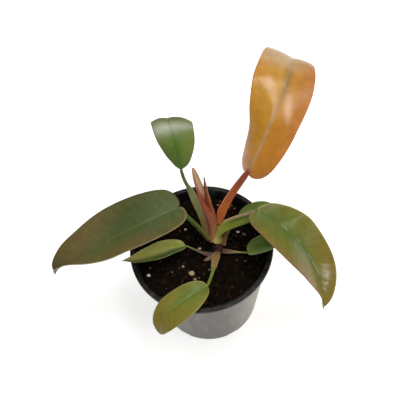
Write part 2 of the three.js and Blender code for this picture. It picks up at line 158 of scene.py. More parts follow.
def lineThrough(points, face, roll=(0, 0), steps=120):
    # returns its length and a function that gives place, forward, up and side at shares of the length
    curve = smoothCurve(points)
    run = np.concatenate([[0], np.cumsum(np.linalg.norm(np.diff(curve, axis=0), axis=1))])
    even = np.linspace(0, run[-1], steps + 1)
    places = np.stack([np.interp(even, run, curve[:, k]) for k in range(3)], 1)
    slopes = unit(np.gradient(curve, axis=0))
    forwards = unit(np.stack([np.interp(even, run, slopes[:, k]) for k in range(3)], 1))
    ups = []
    up = np.array(face, float)
    for forward in forwards:
        up = unit(up - (up @ forward) * forward)
        ups.append(up)
    ups = np.array(ups)

    def at(share):
        inside = np.clip(share, 0, 1)
        i = np.minimum(np.floor(inside * steps).astype(int), steps - 1)
        f = (inside * steps - i)[..., None]
        forward = unit(mix(forwards[i], forwards[i + 1], f))
        up = mix(ups[i], ups[i + 1], f)
        turn = np.radians(along(roll, share))[..., None]
        up = up * np.cos(turn) + np.cross(forward, up) * np.sin(turn)
        up = unit(up - np.sum(up * forward, -1, keepdims=True) * forward)
        place = mix(places[i], places[i + 1], f) + forward * ((share - inside) * run[-1])[..., None]
        return place, forward, up, np.cross(forward, up)

    return run[-1], at


def gridFaces(rows, columns, first=0, closed=False, flip=False):
    faces = []
    for i in range(rows - 1):
        for j in range(columns if closed else columns - 1):
            a, b = first + i * columns + j, first + i * columns + (j + 1) % columns
            face = (a, b, b + columns, a + columns)
            faces.append(face[::-1] if flip else face)
    return faces


def tubeFaces(rows, sides):
    # a closed tube: its rings' points come first and its two end points last
    faces = gridFaces(rows, sides, closed=True)
    start, lastRing = rows * sides, (rows - 1) * sides
    for j in range(sides):
        k = (j + 1) % sides
        faces += [(start, k, j), (start + 1, lastRing + j, lastRing + k)]
    return faces


def ringGrid(steps, sides):
    # shares along and turns round a tube, as two arrays of one shape
    return np.broadcast_arrays((np.arange(steps + 1) / steps)[:, None],
                               (2 * np.pi * np.arange(sides) / sides)[None, :])


# What a leaf's or a stalk's look holds where its own dictionary says nothing.
plainLook = {
    "sides": (), "sideAmount": 0.7, "patches": (), "skin": {}, "vein": "#c9c28a", "ribWidth": 0.9,
    "ribReach": 1.0,
}


def paint(share, across, look):
    # a linear colour for each point: bands along, a shade towards the sides, then soft patches
    colours = np.stack([along([toLinear(h)[k] for h in look["bands"]], share) for k in range(3)], -1)
    for sign, colour in zip((-1, 1), look["sides"]):
        amount = np.clip(across * sign, 0, 1) ** 2.2 * look["sideAmount"]
        colours = mix(colours, np.array(toLinear(colour)), amount[..., None])
    for place, side, longRadius, crossRadius, colour, amount in look["patches"]:
        spread = ((share - place) / longRadius) ** 2 + ((across - side) / crossRadius) ** 2
        colours = mix(colours, np.array(toLinear(colour)), (amount * np.exp(-spread))[..., None])
    return colours


def withAlpha(colours):
    return np.concatenate([colours, np.ones((*colours.shape[:-1], 1))], -1).reshape(-1, 4)


# Leaf blade: a waxy cuticle over soft green and orange tissue. The eye sees a soft satin gloss, faint
# side veins that sweep to the margin, and a slight mottle a few millimetres across. Vein widths are
# shares of the distance between two veins, and streaks are counts per vein and per millimetre.
bladeSkin = {
    "mottleSize": 7, "mottleAmount": 0.12, "grainSize": 0.5, "grainBump": 0.06, "veinWobble": 0.7,
    "wobbleSize": 11.11, "veinWidth": 0.16, "veinAmount": 0.03, "veinBump": 0.03, "reliefDepth": 0.3,
    "streaks": (9.0, 0.12, 0.0), "streakBump": 0.12, "roughness": 0.36, "roughnessSwing": (-0.05, 0.07),
    "specular": 0.18,
}


def leafMaterial(name, look):
    material, tree = newMaterial(name)
    skin = {**bladeSkin, **look["skin"]}
    tint = addNode(tree, "ShaderNodeAttribute", {"attribute_name": "tint"}).outputs["Color"]
    veinPlace = addNode(tree, "ShaderNodeAttribute", {"attribute_name": "veinPlace"}).outputs["Vector"]
    place = addNode(tree, "ShaderNodeTexCoord").outputs["Object"]
    mottle = addNode(tree, "ShaderNodeTexNoise", None, {
        "Vector": place, "Scale": 1 / (skin["mottleSize"] * millimetre), "Detail": 4.0, "Roughness": 0.6})
    shade = addNode(tree, "ShaderNodeMapRange", None, {
        "Value": mottle.outputs["Fac"], "From Min": 0.3, "From Max": 0.7,
        "To Min": 1 - skin["mottleAmount"], "To Max": 1 + skin["mottleAmount"]})
    mottled = addNode(tree, "ShaderNodeVectorMath", {"operation": "SCALE"}, {
        "Vector": tint, "Scale": shade.outputs[0]})
    # side veins: lines where the phase passes a whole number
    parts = addNode(tree, "ShaderNodeSeparateXYZ", None, {"Vector": veinPlace})
    wobble = addNode(tree, "ShaderNodeTexNoise", None, {
        "Vector": place, "Scale": 1 / (skin["wobbleSize"] * millimetre), "Detail": 1.0})
    phase = addNode(tree, "ShaderNodeMath", {"operation": "MULTIPLY_ADD"}, {
        0: wobble.outputs["Fac"], 1: skin["veinWobble"], 2: parts.outputs["X"]})
    saw = addNode(tree, "ShaderNodeMath", {"operation": "PINGPONG"}, {0: phase.outputs[0], 1: 0.5})
    vein = addNode(tree, "ShaderNodeMapRange", {"interpolation_type": "SMOOTHSTEP"}, {
        "Value": saw.outputs[0], "From Min": 0.0, "From Max": skin["veinWidth"], "To Min": 1.0,
        "To Max": 0.0})
    fading = addNode(tree, "ShaderNodeMath", {"operation": "MULTIPLY"}, {
        0: vein.outputs[0], 1: parts.outputs["Z"]})
    veinShade = addNode(tree, "ShaderNodeMath", {"operation": "MULTIPLY"}, {
        0: fading.outputs[0], 1: skin["veinAmount"]})
    veined = addNode(tree, "ShaderNodeMix", {"data_type": "RGBA"}, {
        0: veinShade.outputs[0], 6: mottled.outputs[0], 7: rgba(look["vein"])})
    # streaks run with the side veins, finer than the veins
    stretched = addNode(tree, "ShaderNodeMapping", None, {"Vector": veinPlace, "Scale": skin["streaks"]})
    streak = addNode(tree, "ShaderNodeTexNoise", None, {
        "Vector": stretched.outputs[0], "Scale": 1.0, "Detail": 3.0})
    grain = addNode(tree, "ShaderNodeTexNoise", None, {
        "Vector": place, "Scale": 1 / (skin["grainSize"] * millimetre), "Detail": 2.0})
    relief = addNode(tree, "ShaderNodeBump", None, {
        "Height": fading.outputs[0], "Strength": skin["veinBump"],
        "Distance": skin["reliefDepth"] * millimetre})
    relief = addNode(tree, "ShaderNodeBump", None, {
        "Height": streak.outputs["Fac"], "Strength": skin["streakBump"],
        "Distance": skin["reliefDepth"] * millimetre, "Normal": relief.outputs[0]})
    relief = addNode(tree, "ShaderNodeBump", None, {
        "Height": grain.outputs["Fac"], "Strength": skin["grainBump"],
        "Distance": skin["reliefDepth"] / 2 * millimetre, "Normal": relief.outputs[0]})
    smoothest, roughest = [skin["roughness"] + swing for swing in skin["roughnessSwing"]]
    roughness = addNode(tree, "ShaderNodeMapRange", None, {
        "Value": streak.outputs["Fac"], "From Min": 0.3, "From Max": 0.7, "To Min": smoothest,
        "To Max": roughest})
    finishMaterial(tree, {
        "Base Color": veined.outputs[2], "Roughness": roughness.outputs[0], "IOR": 1.45,
        "Specular IOR Level": skin["specular"], "Normal": relief.outputs[0]})
    return material


# Leaf stalk: smooth, juicy tissue with fine lines along it and a thin waxy gloss. Lines are counts per
# millimetre across, along and through the stalk.
stalkSkin = {
    "lines": (3.2, 0.14, 3.2), "lineAmount": 0.16, "lineBump": 0.3, "lineDepth": 0.25, "blotchSize": 3.846,
    "blotchAmount": 0.8, "roughness": 0.36, "specular": 0.35,
}


def stalkMaterial(name, look):
    material, tree = newMaterial(name)
    skin = {**stalkSkin, **look["skin"]}
    tint = addNode(tree, "ShaderNodeAttribute", {"attribute_name": "tint"}).outputs["Color"]
    stalkPlace = addNode(tree, "ShaderNodeAttribute", {"attribute_name": "stalkPlace"}).outputs["Vector"]
    stretched = addNode(tree, "ShaderNodeMapping", None, {"Vector": stalkPlace, "Scale": skin["lines"]})
    lines = addNode(tree, "ShaderNodeTexNoise", None, {
        "Vector": stretched.outputs[0], "Scale": 1.0, "Detail": 3.0, "Roughness": 0.6})
    place = addNode(tree, "ShaderNodeTexCoord").outputs["Object"]
    blotch = addNode(tree, "ShaderNodeTexNoise", None, {
        "Vector": place, "Scale": 1 / (skin["blotchSize"] * millimetre), "Detail": 3.0})
    both = addNode(tree, "ShaderNodeMath", {"operation": "MULTIPLY_ADD"}, {
        0: blotch.outputs["Fac"], 1: skin["blotchAmount"], 2: lines.outputs["Fac"]})
    shade = addNode(tree, "ShaderNodeMapRange", None, {
        "Value": both.outputs[0], "From Min": 0.6, "From Max": 1.2,
        "To Min": 1 - skin["lineAmount"], "To Max": 1 + skin["lineAmount"]})
    colour = addNode(tree, "ShaderNodeVectorMath", {"operation": "SCALE"}, {
        "Vector": tint, "Scale": shade.outputs[0]})
    relief = addNode(tree, "ShaderNodeBump", None, {
        "Height": lines.outputs["Fac"], "Strength": skin["lineBump"],
        "Distance": skin["lineDepth"] * millimetre})
    finishMaterial(tree, {
        "Base Color": colour.outputs[0], "Roughness": skin["roughness"], "IOR": 1.45,
        "Specular IOR Level": skin["specular"], "Normal": relief.outputs[0]})
    return material


# How every leaf blade is made, in millimetres where it isn't a share or a count. The other half's veins
# and waves are shifted, so that the two halves aren't mirror images.
bladeBuild = {
    "rows": 150, "half": 22, "edge": 0.7, "rimShare": 0.4, "rimFade": 0.5, "ribBase": 2.6, "ribTip": 0.5,
    "ribSpread": 1.5, "grooveDepth": 0.25, "grooveWidth": 0.8, "lobeShare": 0.075, "veinSpacing": 6.5,
    "veinLean": 0.9, "veinBend": 0.012, "veinShift": 0.37, "waveShift": 1.9, "quilt": 0.03,
    "quiltFade": 3, "marginWidth": 0.9, "marginFade": 0.55, "marginAmount": 0.75, "underShare": 0.7,
}


def outline(leaf, length, c):
    widest, tip, drip, lobe = leaf["widest"], leaf["tip"], leaf["drip"], leaf["lobe"]
    body = np.minimum(c / (1 - drip / 2), 1)
    base = tip * widest / (1 - widest)
    swell = (body / widest) ** base * ((1 - body) / (1 - widest)) ** tip
    opening = 1 - np.exp(-(c / (0.05 if lobe > 2 else 0.02)) ** 1.6)
    tail = 0.05 * np.minimum((1 - c) / drip, 1) * np.minimum(4 * c, 1)
    share = c / bladeBuild["lobeShare"]
    return length * c - lobe * share * np.exp(1 - share), np.hypot(swell * opening, tail)


def bladePoint(leaf, line, c, v):
    length, at = line
    edgeAlong, out = outline(leaf, length, c)
    reach = np.abs(v)
    half = np.where(v < 0, along(leaf["width"][0], c), along(leaf["width"][1], c)) * out
    place, _, up, side = at(mix(length * c, edgeAlong, reach ** 1.3) / length)
    rise = np.radians(along(leaf["fold"], c))
    curl = np.radians(along(leaf["curl"], c))
    curl = np.where(np.abs(curl) < 1e-4, 1e-4, curl)
    across = half / curl * (np.sin(rise) - np.sin(rise - curl * reach))
    lift = half / curl * (np.cos(rise - curl * reach) - np.cos(rise))
    return place + side * (np.sign(v) * across)[..., None] + up * lift[..., None]


def bladeNormal(leaf, line, c, v):
    middle, inner, step = np.clip(c, 0.01, 0.98), v * 0.98, 0.004
    lengthwise = bladePoint(leaf, line, middle + step, inner) - bladePoint(leaf, line, middle - step, inner)
    crosswise = (bladePoint(leaf, line, middle, inner + 5 * step)
                 - bladePoint(leaf, line, middle, inner - 5 * step))
    normal = unit(np.cross(lengthwise, crosswise))
    up = line[1](c)[2]
    return np.where(np.sum(normal * up, -1, keepdims=True) < 0, -normal, normal)


def makeBlade(name, leaf, look):
    build = bladeBuild
    look = {**plainLook, **look}
    line = lineThrough(leaf["rib"], leaf["faceBlade"], leaf["roll"])
    rows, half = build["rows"], build["half"]
    c = (1 - np.cos(np.pi * np.arange(rows + 1) / rows)) / 2
    c = np.clip(c, 0.0004, 0.9996)[:, None]
    out = outline(leaf, line[0], c)[1]
    # columns: closer at the midrib, then two that follow the margin at fixed distances
    t = np.arange(half + 1) / half
    inner = 0.35 * t + 0.65 * t ** 1.5
    sides = []
    for sign, width in ((-1, leaf["width"][0]), (1, leaf["width"][1])):
        reach = np.maximum(along(width, c) * out, 0.05)
        rim = np.minimum(build["marginWidth"], 0.35 * reach) / reach
        columns = np.concatenate([inner * (1 - rim), 1 - rim * 0.5, np.ones_like(rim)], 1)
        sides.append(sign * columns)
    v = np.concatenate([sides[0][:, ::-1], sides[1][:, 1:]], 1)
    c = np.broadcast_to(c, v.shape)
    reach = np.where(v < 0, along(leaf["width"][0], c), along(leaf["width"][1], c)) * out
    fromRib = np.abs(v) * reach
    fromEdge = (1 - np.abs(v)) * reach
    middle = bladePoint(leaf, line, c, v)
    normal = bladeNormal(leaf, line, c, v)
    bent = c * line[0] - build["veinLean"] * fromRib + build["veinBend"] * fromRib ** 2
    phase = bent / build["veinSpacing"] + np.where(v < 0, build["veinShift"], 0)
    # the margin waves gently, and the tissue stands up a little between the side veins
    rippleHeight, rippleCount, rippleStart = leaf["ripple"]
    fade = np.sin(np.pi * np.clip(c, 0, 1)) ** 0.6
    wave = rippleHeight * np.abs(v) ** 2.4 * fade * np.sin(
        2 * np.pi * rippleCount * c + rippleStart + np.where(v < 0, build["waveShift"], 0))
    puff = -build["quilt"] * np.cos(2 * np.pi * phase) * np.clip(
        fromRib / build["quiltFade"], 0, 1) * np.clip(fromEdge / build["quiltFade"], 0, 1)
    middle = middle + normal * (wave + puff)[..., None]
    thin = 1 - build["rimShare"] * np.exp(-(fromEdge / build["rimFade"]) ** 2)
    groove = build["grooveDepth"] * (1 - 0.6 * c) * np.exp(-(fromRib / build["grooveWidth"]) ** 2)
    ribDepth = mix(build["ribBase"], build["ribTip"], c ** 0.7)
    ridge = ribDepth * np.exp(-(fromRib / build["ribSpread"]) ** 2)
    upper = middle + normal * (build["edge"] / 2 * thin - groove)[..., None]
    lower = middle - normal * (build["edge"] / 2 * thin + ridge)[..., None]
    columns = v.shape[1]
    count = v.size
    points = np.concatenate([upper.reshape(-1, 3), lower.reshape(-1, 3)])
    faces = gridFaces(rows + 1, columns, 0, flip=True) + gridFaces(rows + 1, columns, count)
    loop = ([i * columns for i in range(rows + 1)]
            + [rows * columns + j for j in range(1, columns)]
            + [i * columns + columns - 1 for i in range(rows - 1, -1, -1)]
            + [j for j in range(columns - 2, 0, -1)])
    for a, b in zip(loop, loop[1:] + loop[:1]):
        faces.append((a, b, b + count, a + count))
    # colour: margin and midrib are drawn over the painted tissue, and the underside is paler
    tint = paint(c, v, look)
    rib = np.exp(-(fromRib / look["ribWidth"]) ** 2) * look["ribAmount"]
    rib = rib * np.clip(1.15 - c / look["ribReach"], 0, 1)
    tint = mix(tint, np.array(toLinear(look["rib"])), rib[..., None])
    for sign, colour in zip((-1, 1), look["margin"]):
        amount = np.exp(-(fromEdge / build["marginFade"]) ** 2) * (np.sign(v) == sign) * build["marginAmount"]
        tint = mix(tint, np.array(toLinear(colour)), amount[..., None])
    under = mix(tint, np.array(toLinear(look["under"])), build["underShare"])
    veinPlace = np.stack([phase, fromRib, np.clip(fromRib / 4, 0, 1) * np.clip(fromEdge / 5, 0, 1)], -1)
    return meshPiece(name, points, faces, leafMaterial("waxy leaf blade " + name, look), {
        "tint": np.concatenate([withAlpha(tint), withAlpha(under)]),
        "veinPlace": np.concatenate([veinPlace.reshape(-1, 3)] * 2),
    })


# Faces along and round every stalk, sheath and rolled leaf, and where a hollow side's colour ends.
stalkBuild = {"steps": 80, "sides": 40, "innerFade": 0.25, "innerEnd": 0.92, "innerEndFade": 0.12}


def makeStalk(name, stalk, look):
    look = {**plainLook, **look}
    length, at = lineThrough(stalk["path"], stalk["face"])
    share, turn = ringGrid(stalkBuild["steps"], stalkBuild["sides"])
    close = np.ones_like(share)
    if "roundOff" in stalk:
        near = np.clip((share - 1 + stalk["roundOff"]) / stalk["roundOff"], 0, 1)
        close = np.sqrt(np.maximum(1 - near ** 2, 0.0004))
    place, _, up, side = at(share)
    out = along(stalk["wide"], share) / 2 * np.cos(turn) * close
    bend = along(stalk["channel"], share) * (np.cos(turn) ** 2 * close - 0.35)
    rise = along(stalk["thick"], share) / 2 * np.sin(turn) * close + bend
    points = place + side * out[..., None] + up * rise[..., None]
    tint = paint(share, np.cos(turn), look)
    if "inner" in look:
        # the upper, hollow side has its own colour from a line on its left to just short of its right edge
        inner, build = look["inner"], stalkBuild
        amount = np.clip(np.sin(turn) * 3, 0, 1) * along(inner["share"], share)
        amount = amount * np.clip((np.cos(turn) - along(inner["start"], share)) / build["innerFade"], 0, 1)
        amount = amount * np.clip((build["innerEnd"] - np.cos(turn)) / build["innerEndFade"], 0, 1)
        tint = mix(tint, np.array(toLinear(inner["colour"])), amount[..., None])
    stalkPlace = np.stack([out, share * length, rise], -1)
    points = np.concatenate([points.reshape(-1, 3), [points[0].mean(0), points[-1].mean(0)]])
    return meshPiece(name, points, tubeFaces(*share.shape), stalkMaterial("leaf stalk " + name, look), {
        "tint": np.concatenate([withAlpha(tint), withAlpha(tint[[0, -1], 0])]),
        "stalkPlace": np.concatenate([stalkPlace.reshape(-1, 3), stalkPlace[[0, -1], 0]]),
    })


# One dictionary for each leaf: its stalk and blade as they grow, and what they look like.
leaves = {
    "right": {
        "stalk": {
            "path": [(13.2, 1.8, 99.4), (16, 5.6, 106), (21, 6.6, 112), (27.7, 5.8, 117.5),
                     (34.8, 4.4, 123), (42, 2.4, 129)],
            "wide": [8.4, 10, 10.8, 10.2, 9.6, 8.8, 5.4], "thick": [8.6, 5.4, 3.8, 3.6, 3.4, 3, 2.6],
            "channel": [0.2, 2.2, 3, 3, 2.6, 1.8, 1], "face": (-0.45, 0.2, 0.85),
        },
        "stalkLook": {
            "bands": ["#a0a24c", "#8a943a", "#6f7d30", "#62752f", "#54692b"],
            "patches": [(0.02, -0.6, 0.1, 0.7, "#b08062", 0.9), (0.03, 0.5, 0.1, 0.6, "#cfc676", 0.8),
                        # the very dark green strip along the channel, below the pinkish far wing, is painted
                        # shade
                        (0.72, -0.35, 0.34, 0.2, "#2f3c14", 0.85), (0.62, -0.85, 0.4, 0.24, "#bd9478", 0.9)],
        },
        "rib": [(49, 2, 137), (61, -14, 142), (71, -25, 138), (82, -34, 121), (88.5, -45, 106),
                (90.5, -55, 95), (90, -66, 87)],
        "faceBlade": (0, 0, 1), "roll": [-8, -16, -14], "fold": [20, 14, 25], "curl": [16, -8],
        "width": [[23, 23], [24, 24]], "widest": 0.48, "tip": 0.64, "drip": 0.03, "lobe": 8,
        "ripple": (0.5, 2.4, 0.4),
        "look": {
            "bands": ["#61733a", "#616c2f", "#6b6c2c", "#736c2a", "#7d702c"],
            "sides": ["#7a7030", "#7a6a2d"], "sideAmount": 0.75,
            "patches": [(0.5, 0.06, 0.26, 0.16, "#47612a", 0.85), (0.7, 0.95, 0.35, 0.25, "#8f6a44", 0.7),
                        (0.75, -0.7, 0.25, 0.4, "#80662c", 0.5)],
            "rib": "#54702f", "ribAmount": 0.5, "margin": ["#b9a96a", "#80573a"], "under": "#a39a6a",
            "skin": {"roughness": 0.18, "specular": 0.2},
        },
    },
    "upper": {
        "stalk": {
            "path": [(7.6, 4.4, 101.5), (6.6, 9.6, 108), (5.6, 15, 117.5), (2, 20.5, 131), (-2, 26.5, 144),
                     (-5.2, 31, 153)],
            "wide": [7, 8.2, 8.8, 8.4, 7.8, 7.2, 5.6, 3, 2.7, 2.6], "thick": [4, 4, 3.6, 3.2, 2.6, 2.3, 2.3],
            "channel": [1.8, 1.8, 1.6, 1.4, 0.8, 0.1, 0.1], "face": (0.35, -0.6, 0.7),
        },
        "stalkLook": {
            "bands": ["#76583a", "#6e5c34", "#736e42", "#767449", "#5c6a38", "#536630"],
            "patches": [(0.45, 1.0, 0.25, 0.4, "#958a60", 0.8), (0.12, 0.7, 0.2, 0.5, "#7a4a38", 0.6)],
        },
        "rib": [(-6.5, 33, 164), (-8, 37.5, 177), (-8.5, 44.5, 186.5), (-10, 55.5, 190.5),
                (-11.5, 67.5, 187), (-13, 75, 172), (-14, 81, 156)],
        "faceBlade": (0, -0.7, 0.6), "roll": [-20, 18, -4], "fold": [8, 16, 4], "curl": [52, 52, 62],
        "width": [[15, 13.8, 13.8, 14], [20.4, 20.4]], "widest": 0.55, "tip": 0.5, "drip": 0.03, "lobe": 0,
        "ripple": (0.3, 2.0, 0.8),
        "look": {
            "bands": ["#5c7530", "#5b7330", "#5d6d34", "#70755a", "#6a6f55"],
            "sides": ["#747840", "#71713c"], "sideAmount": 0.8,
            # the pale grey band across the blade at its fold is a painted highlight
            "patches": [(0.25, 0.0, 0.16, 0.35, "#4a6826", 0.7), (0.44, -0.2, 0.06, 1.3, "#b2b5a4", 0.9)],
            "rib": "#4f6b2a", "ribAmount": 0.3, "margin": ["#6d6a3c", "#6d6a3c"], "under": "#8d9660",
            "skin": {"roughness": 0.44, "specular": 0.14},
        },
    },
    "left": {
        "stalk": {
            "path": [(7, 4, 102), (3, 7, 109.5), (-1, 9, 117.5), (-5.5, 10.5, 126.5)],
            "wide": [6.4, 6.2, 5.8, 5.2, 4.4], "thick": [4.4, 4.4, 4, 3.6, 3],
            "channel": [0.8, 0.8, 0.6, 0.4, 0.2], "face": (0.4, 0.5, 0.8),
        },
        "stalkLook": {"bands": ["#6c602e", "#5e662e", "#50632a", "#495d28"]},
        "rib": [(-14, 14, 141), (-36, 5, 143), (-62, -1, 137), (-87, -8, 130), (-106, -11, 124),
                (-116.5, -13.5, 119), (-119.5, -15.5, 115)],
        "faceBlade": (-0.1, 0, 1), "roll": [-3, 3, 14], "fold": [22, 18, 34], "curl": [12, -18],
        "width": [[24.5, 24.5], [25.5, 25.5]], "widest": 0.41, "tip": 0.59, "drip": 0.04, "lobe": 10,
        "ripple": (0.5, 2.2, 1.0),
        "look": {
            "bands": ["#52603a", "#4b592f", "#4d5a2e", "#5b5f34", "#6a6038", "#55492f"],
            "sides": ["#665a30", "#5c5833"], "sideAmount": 0.6,
            "patches": [(0.42, -0.75, 0.18, 0.35, "#70552f", 0.55), (0.62, 0.75, 0.25, 0.4, "#745c34", 0.55),
                        (0.32, 0.5, 0.2, 0.45, "#414d28", 0.55)],
            "rib": "#74804c", "ribAmount": 0.7, "ribReach": 0.6, "ribWidth": 1.1,
            "margin": ["#a58d6b", "#5c3c2c"], "under": "#7d7a52",
            "skin": {"roughness": 0.42, "specular": 0.12},
        },
    },
    "orange": {
        "stalk": {
            "path": [(17, 11, 111.5), (20.7, 16, 120), (26.3, 20, 129), (32.6, 22.6, 140),
                     (38.9, 23.6, 151)],
            "wide": [3.6, 8.4, 7.2, 6.4, 6, 5.4, 3.8], "thick": [3.2, 4.6, 4.2, 3.6, 2.8],
            "channel": [0.6, 1.2, 1, 0.6, 0.3], "face": (-0.6, -0.4, 0.6),
        },
        "stalkLook": {
            "bands": ["#b5622f", "#b8642d", "#b05a2c", "#a04c2c", "#914434"],
            "patches": [(0.4, -1.0, 0.3, 0.3, "#dca27a", 0.8)],
        },
        "rib": [(46, 24, 164), (53, 30, 175), (61, 38, 186), (69, 48.5, 196.5), (79, 64, 203.5),
                (87, 82.5, 205.5), (93, 101.5, 197.5), (97, 113, 177), (99, 117, 155)],
        "faceBlade": (-0.3, -0.6, 0.7), "roll": [-22, 13, 12], "fold": [-12, 13, 14], "curl": [36, 18],
        "width": [[34, 20, 26, 27, 26], [22.5, 22.5]], "widest": 0.42, "tip": 0.64, "drip": 0.03,
        "lobe": 13, "ripple": (0.5, 2.6, 0.0),
        "look": {
            "bands": ["#bc8634", "#bd872b", "#be8a31", "#bb8a42", "#c19d66", "#b98a45"],
            "sides": ["#c48c3a", "#b56a30"], "sideAmount": 0.6,
            "patches": [(0.2, 0.5, 0.2, 0.5, "#b87428", 0.7), (0.5, 0.05, 0.12, 0.14, "#756c38", 0.7),
                        (0.42, 0.65, 0.3, 0.45, "#ad7030", 0.6), (0.5, 0.95, 0.3, 0.2, "#b8784c", 0.6),
                        # the thin pale cream band across the blade where it curls over at its top is a
                        # painted sheen
                        (0.62, -0.4, 0.06, 0.9, "#cab08e", 0.8), (0.08, -0.8, 0.12, 0.45, "#bd761c", 0.85)],
            "rib": "#b39376", "ribAmount": 0.75, "ribWidth": 1.2, "margin": ["#c06a3a", "#c4683a"],
            "under": "#c9a06a", "vein": "#d9b070",
            "skin": {"roughness": 0.14, "specular": 0.42, "streakBump": 0.56, "veinBump": 0.02},
        },
    },
    "back": {
        "stalk": {
            "path": [(18.5, 0, 94.5), (20.2, 4.5, 97.5), (22.6, 7.4, 100), (26.5, 11, 103.5),
                     (30.5, 14.5, 108)],
            "wide": [4.2, 4, 2.6, 1.7, 1.6, 1.6], "thick": [2.2, 2, 1.7, 1.5, 1.5, 1.5],
            "channel": [0.8, 0.6, 0.3, 0.1, 0.1, 0.1], "face": (0, 0, 1),
        },
        "stalkLook": {"bands": ["#7c5434", "#8a6a45", "#8f8450", "#8c8c50", "#7c8648"]},
        "rib": [(33.5, 17, 111.5), (43, 17.5, 115), (56, 15.5, 115.5), (72, 10, 110)],
        "faceBlade": (0, 0, 1), "roll": [0, 0, 0], "fold": [14, 12, 10], "curl": [10, 10],
        "width": [[8, 8], [8, 8]], "widest": 0.55, "tip": 0.75, "drip": 0.04, "lobe": 0,
        "ripple": (0.2, 1.6, 0.0),
        "look": {
            "bands": ["#5a6c30", "#52662c", "#50632b"], "sides": ["#667a3c", "#485626"],
            "rib": "#6d8a45", "ribAmount": 0.4, "margin": ["#7f8f55", "#7f8f55"], "under": "#8d9a62",
        },
    },
    "lower_right": {
        "stalk": {
            "path": [(17, -5, 94), (21, -6.8, 95), (25.5, -8.3, 96), (31, -10, 97)],
            "wide": [4.6, 4.4, 2.6, 1.3, 1.3], "thick": [1.8, 1.8, 1.5, 1.2, 1.2],
            "channel": [0.8, 0.7, 0.3, 0.1, 0.1], "face": (0, 0, 1),
        },
        "stalkLook": {"bands": ["#56402e", "#654e39", "#7f7048", "#8a9858", "#96a65c"]},
        "rib": [(37, -12, 98), (46, -11.5, 103), (58, -10, 105), (70, -8, 103)],
        "faceBlade": (0, 0, 1), "roll": [4, 4, 4], "fold": [30, 24, 16], "curl": [20, 20],
        "width": [[9, 9], [6.6, 6.6]], "widest": 0.42, "tip": 0.65, "drip": 0.04, "lobe": 0,
        "ripple": (0.2, 1.6, 0.5),
        "look": {
            "bands": ["#8aa350", "#587430", "#445f2a", "#42602f"], "sides": ["#486632", "#95a56c"],
            "sideAmount": 0.85,
            "rib": "#86a060", "ribAmount": 0.4, "margin": ["#9ab060", "#a0ae70"], "under": "#84955c",
        },
    },
    "lower_left": {
        "stalk": {
            "path": [(9.5, -6.5, 93.5), (4, -6, 94.5), (-1, -4, 95.8), (-7.5, -0.5, 97.5)],
            "wide": [3.6, 3.8, 2.4, 1.5, 1.4], "thick": [1.6, 1.6, 1.5, 1.3, 1.3],
            "channel": [0.7, 0.6, 0.2, 0.1, 0.1], "face": (0, 0, 1),
        },
        "stalkLook": {"bands": ["#4a3226", "#543c2c", "#5a4c30", "#74763a", "#7c843e"]},
        "rib": [(-13, 2.5, 99), (-24, -2, 106), (-36, -6, 110), (-50, -8, 109.5), (-66, -7, 106)],
        "faceBlade": (0, 0, 1), "roll": [6, 2, 16], "fold": [26, 8, 6], "curl": [4, 20],
        "width": [[7.4, 7.4], [9, 9]], "widest": 0.4, "tip": 0.82, "drip": 0.04, "lobe": 1,
        "ripple": (0.35, 3.0, 0.5),
        "look": {
            # the pale yellow-green bands and pale second side are painted light on the lit half of the fold;
            # the dark first side and dark green patch are painted shade on its other half
            "bands": ["#869a48", "#9ea852", "#babd62", "#cbc268", "#bda254"],
            "sides": ["#3f5c22", "#c4c270"], "sideAmount": 0.9,
            "patches": [(0.32, -0.75, 0.5, 0.5, "#304a19", 0.95)],
            "rib": "#c0bf78", "ribAmount": 0.35, "margin": ["#8f9a55", "#c0ba70"], "under": "#8d9660",
        },
    },
    "front": {
        "stalk": {
            "path": [(13.5, -5, 94), (11.5, -9, 96), (9.5, -16, 98), (7, -25, 101), (3.5, -35, 105)],
            "wide": [4.6, 7, 5.4, 2.6, 2.5, 2.4], "thick": [1.8, 2, 2, 2.1, 2.1, 2],
            "channel": [1, 1.5, 0.9, 0.2, 0.1, 0.1], "face": (0, 0.3, 1),
        },
        "stalkLook": {
            "bands": ["#6d4c38", "#8a6f48", "#8a7848", "#77803c", "#6f8038", "#6f7f36"],
            "patches": [(0.25, -1.0, 0.2, 0.3, "#a3875c", 0.7)],
        },
        "rib": [(1, -41, 108), (-11, -47, 109), (-24, -54, 108), (-34, -59, 104), (-40, -63.5, 97),
                (-42, -68, 87.5)],
        "faceBlade": (0, 0, 1), "roll": [-5, 4, -5], "fold": [14, 6, 12], "curl": [14, 12],
        "width": [[15, 15], [12.8, 12.8]], "widest": 0.49, "tip": 0.62, "drip": 0.03, "lobe": 1,
        "ripple": (0.3, 2.2, 0.2),
        "look": {
            "bands": ["#5c7030", "#6c7730", "#7b782e", "#85762e", "#716a2a"],
            "sides": ["#83742e", "#857c38"], "patches": [(0.3, 0.05, 0.34, 0.24, "#54732a", 0.8)],
            "rib": "#8f8f50", "ribAmount": 0.5, "margin": ["#9a9050", "#a8a060"], "under": "#94935c",
        },
    },
}

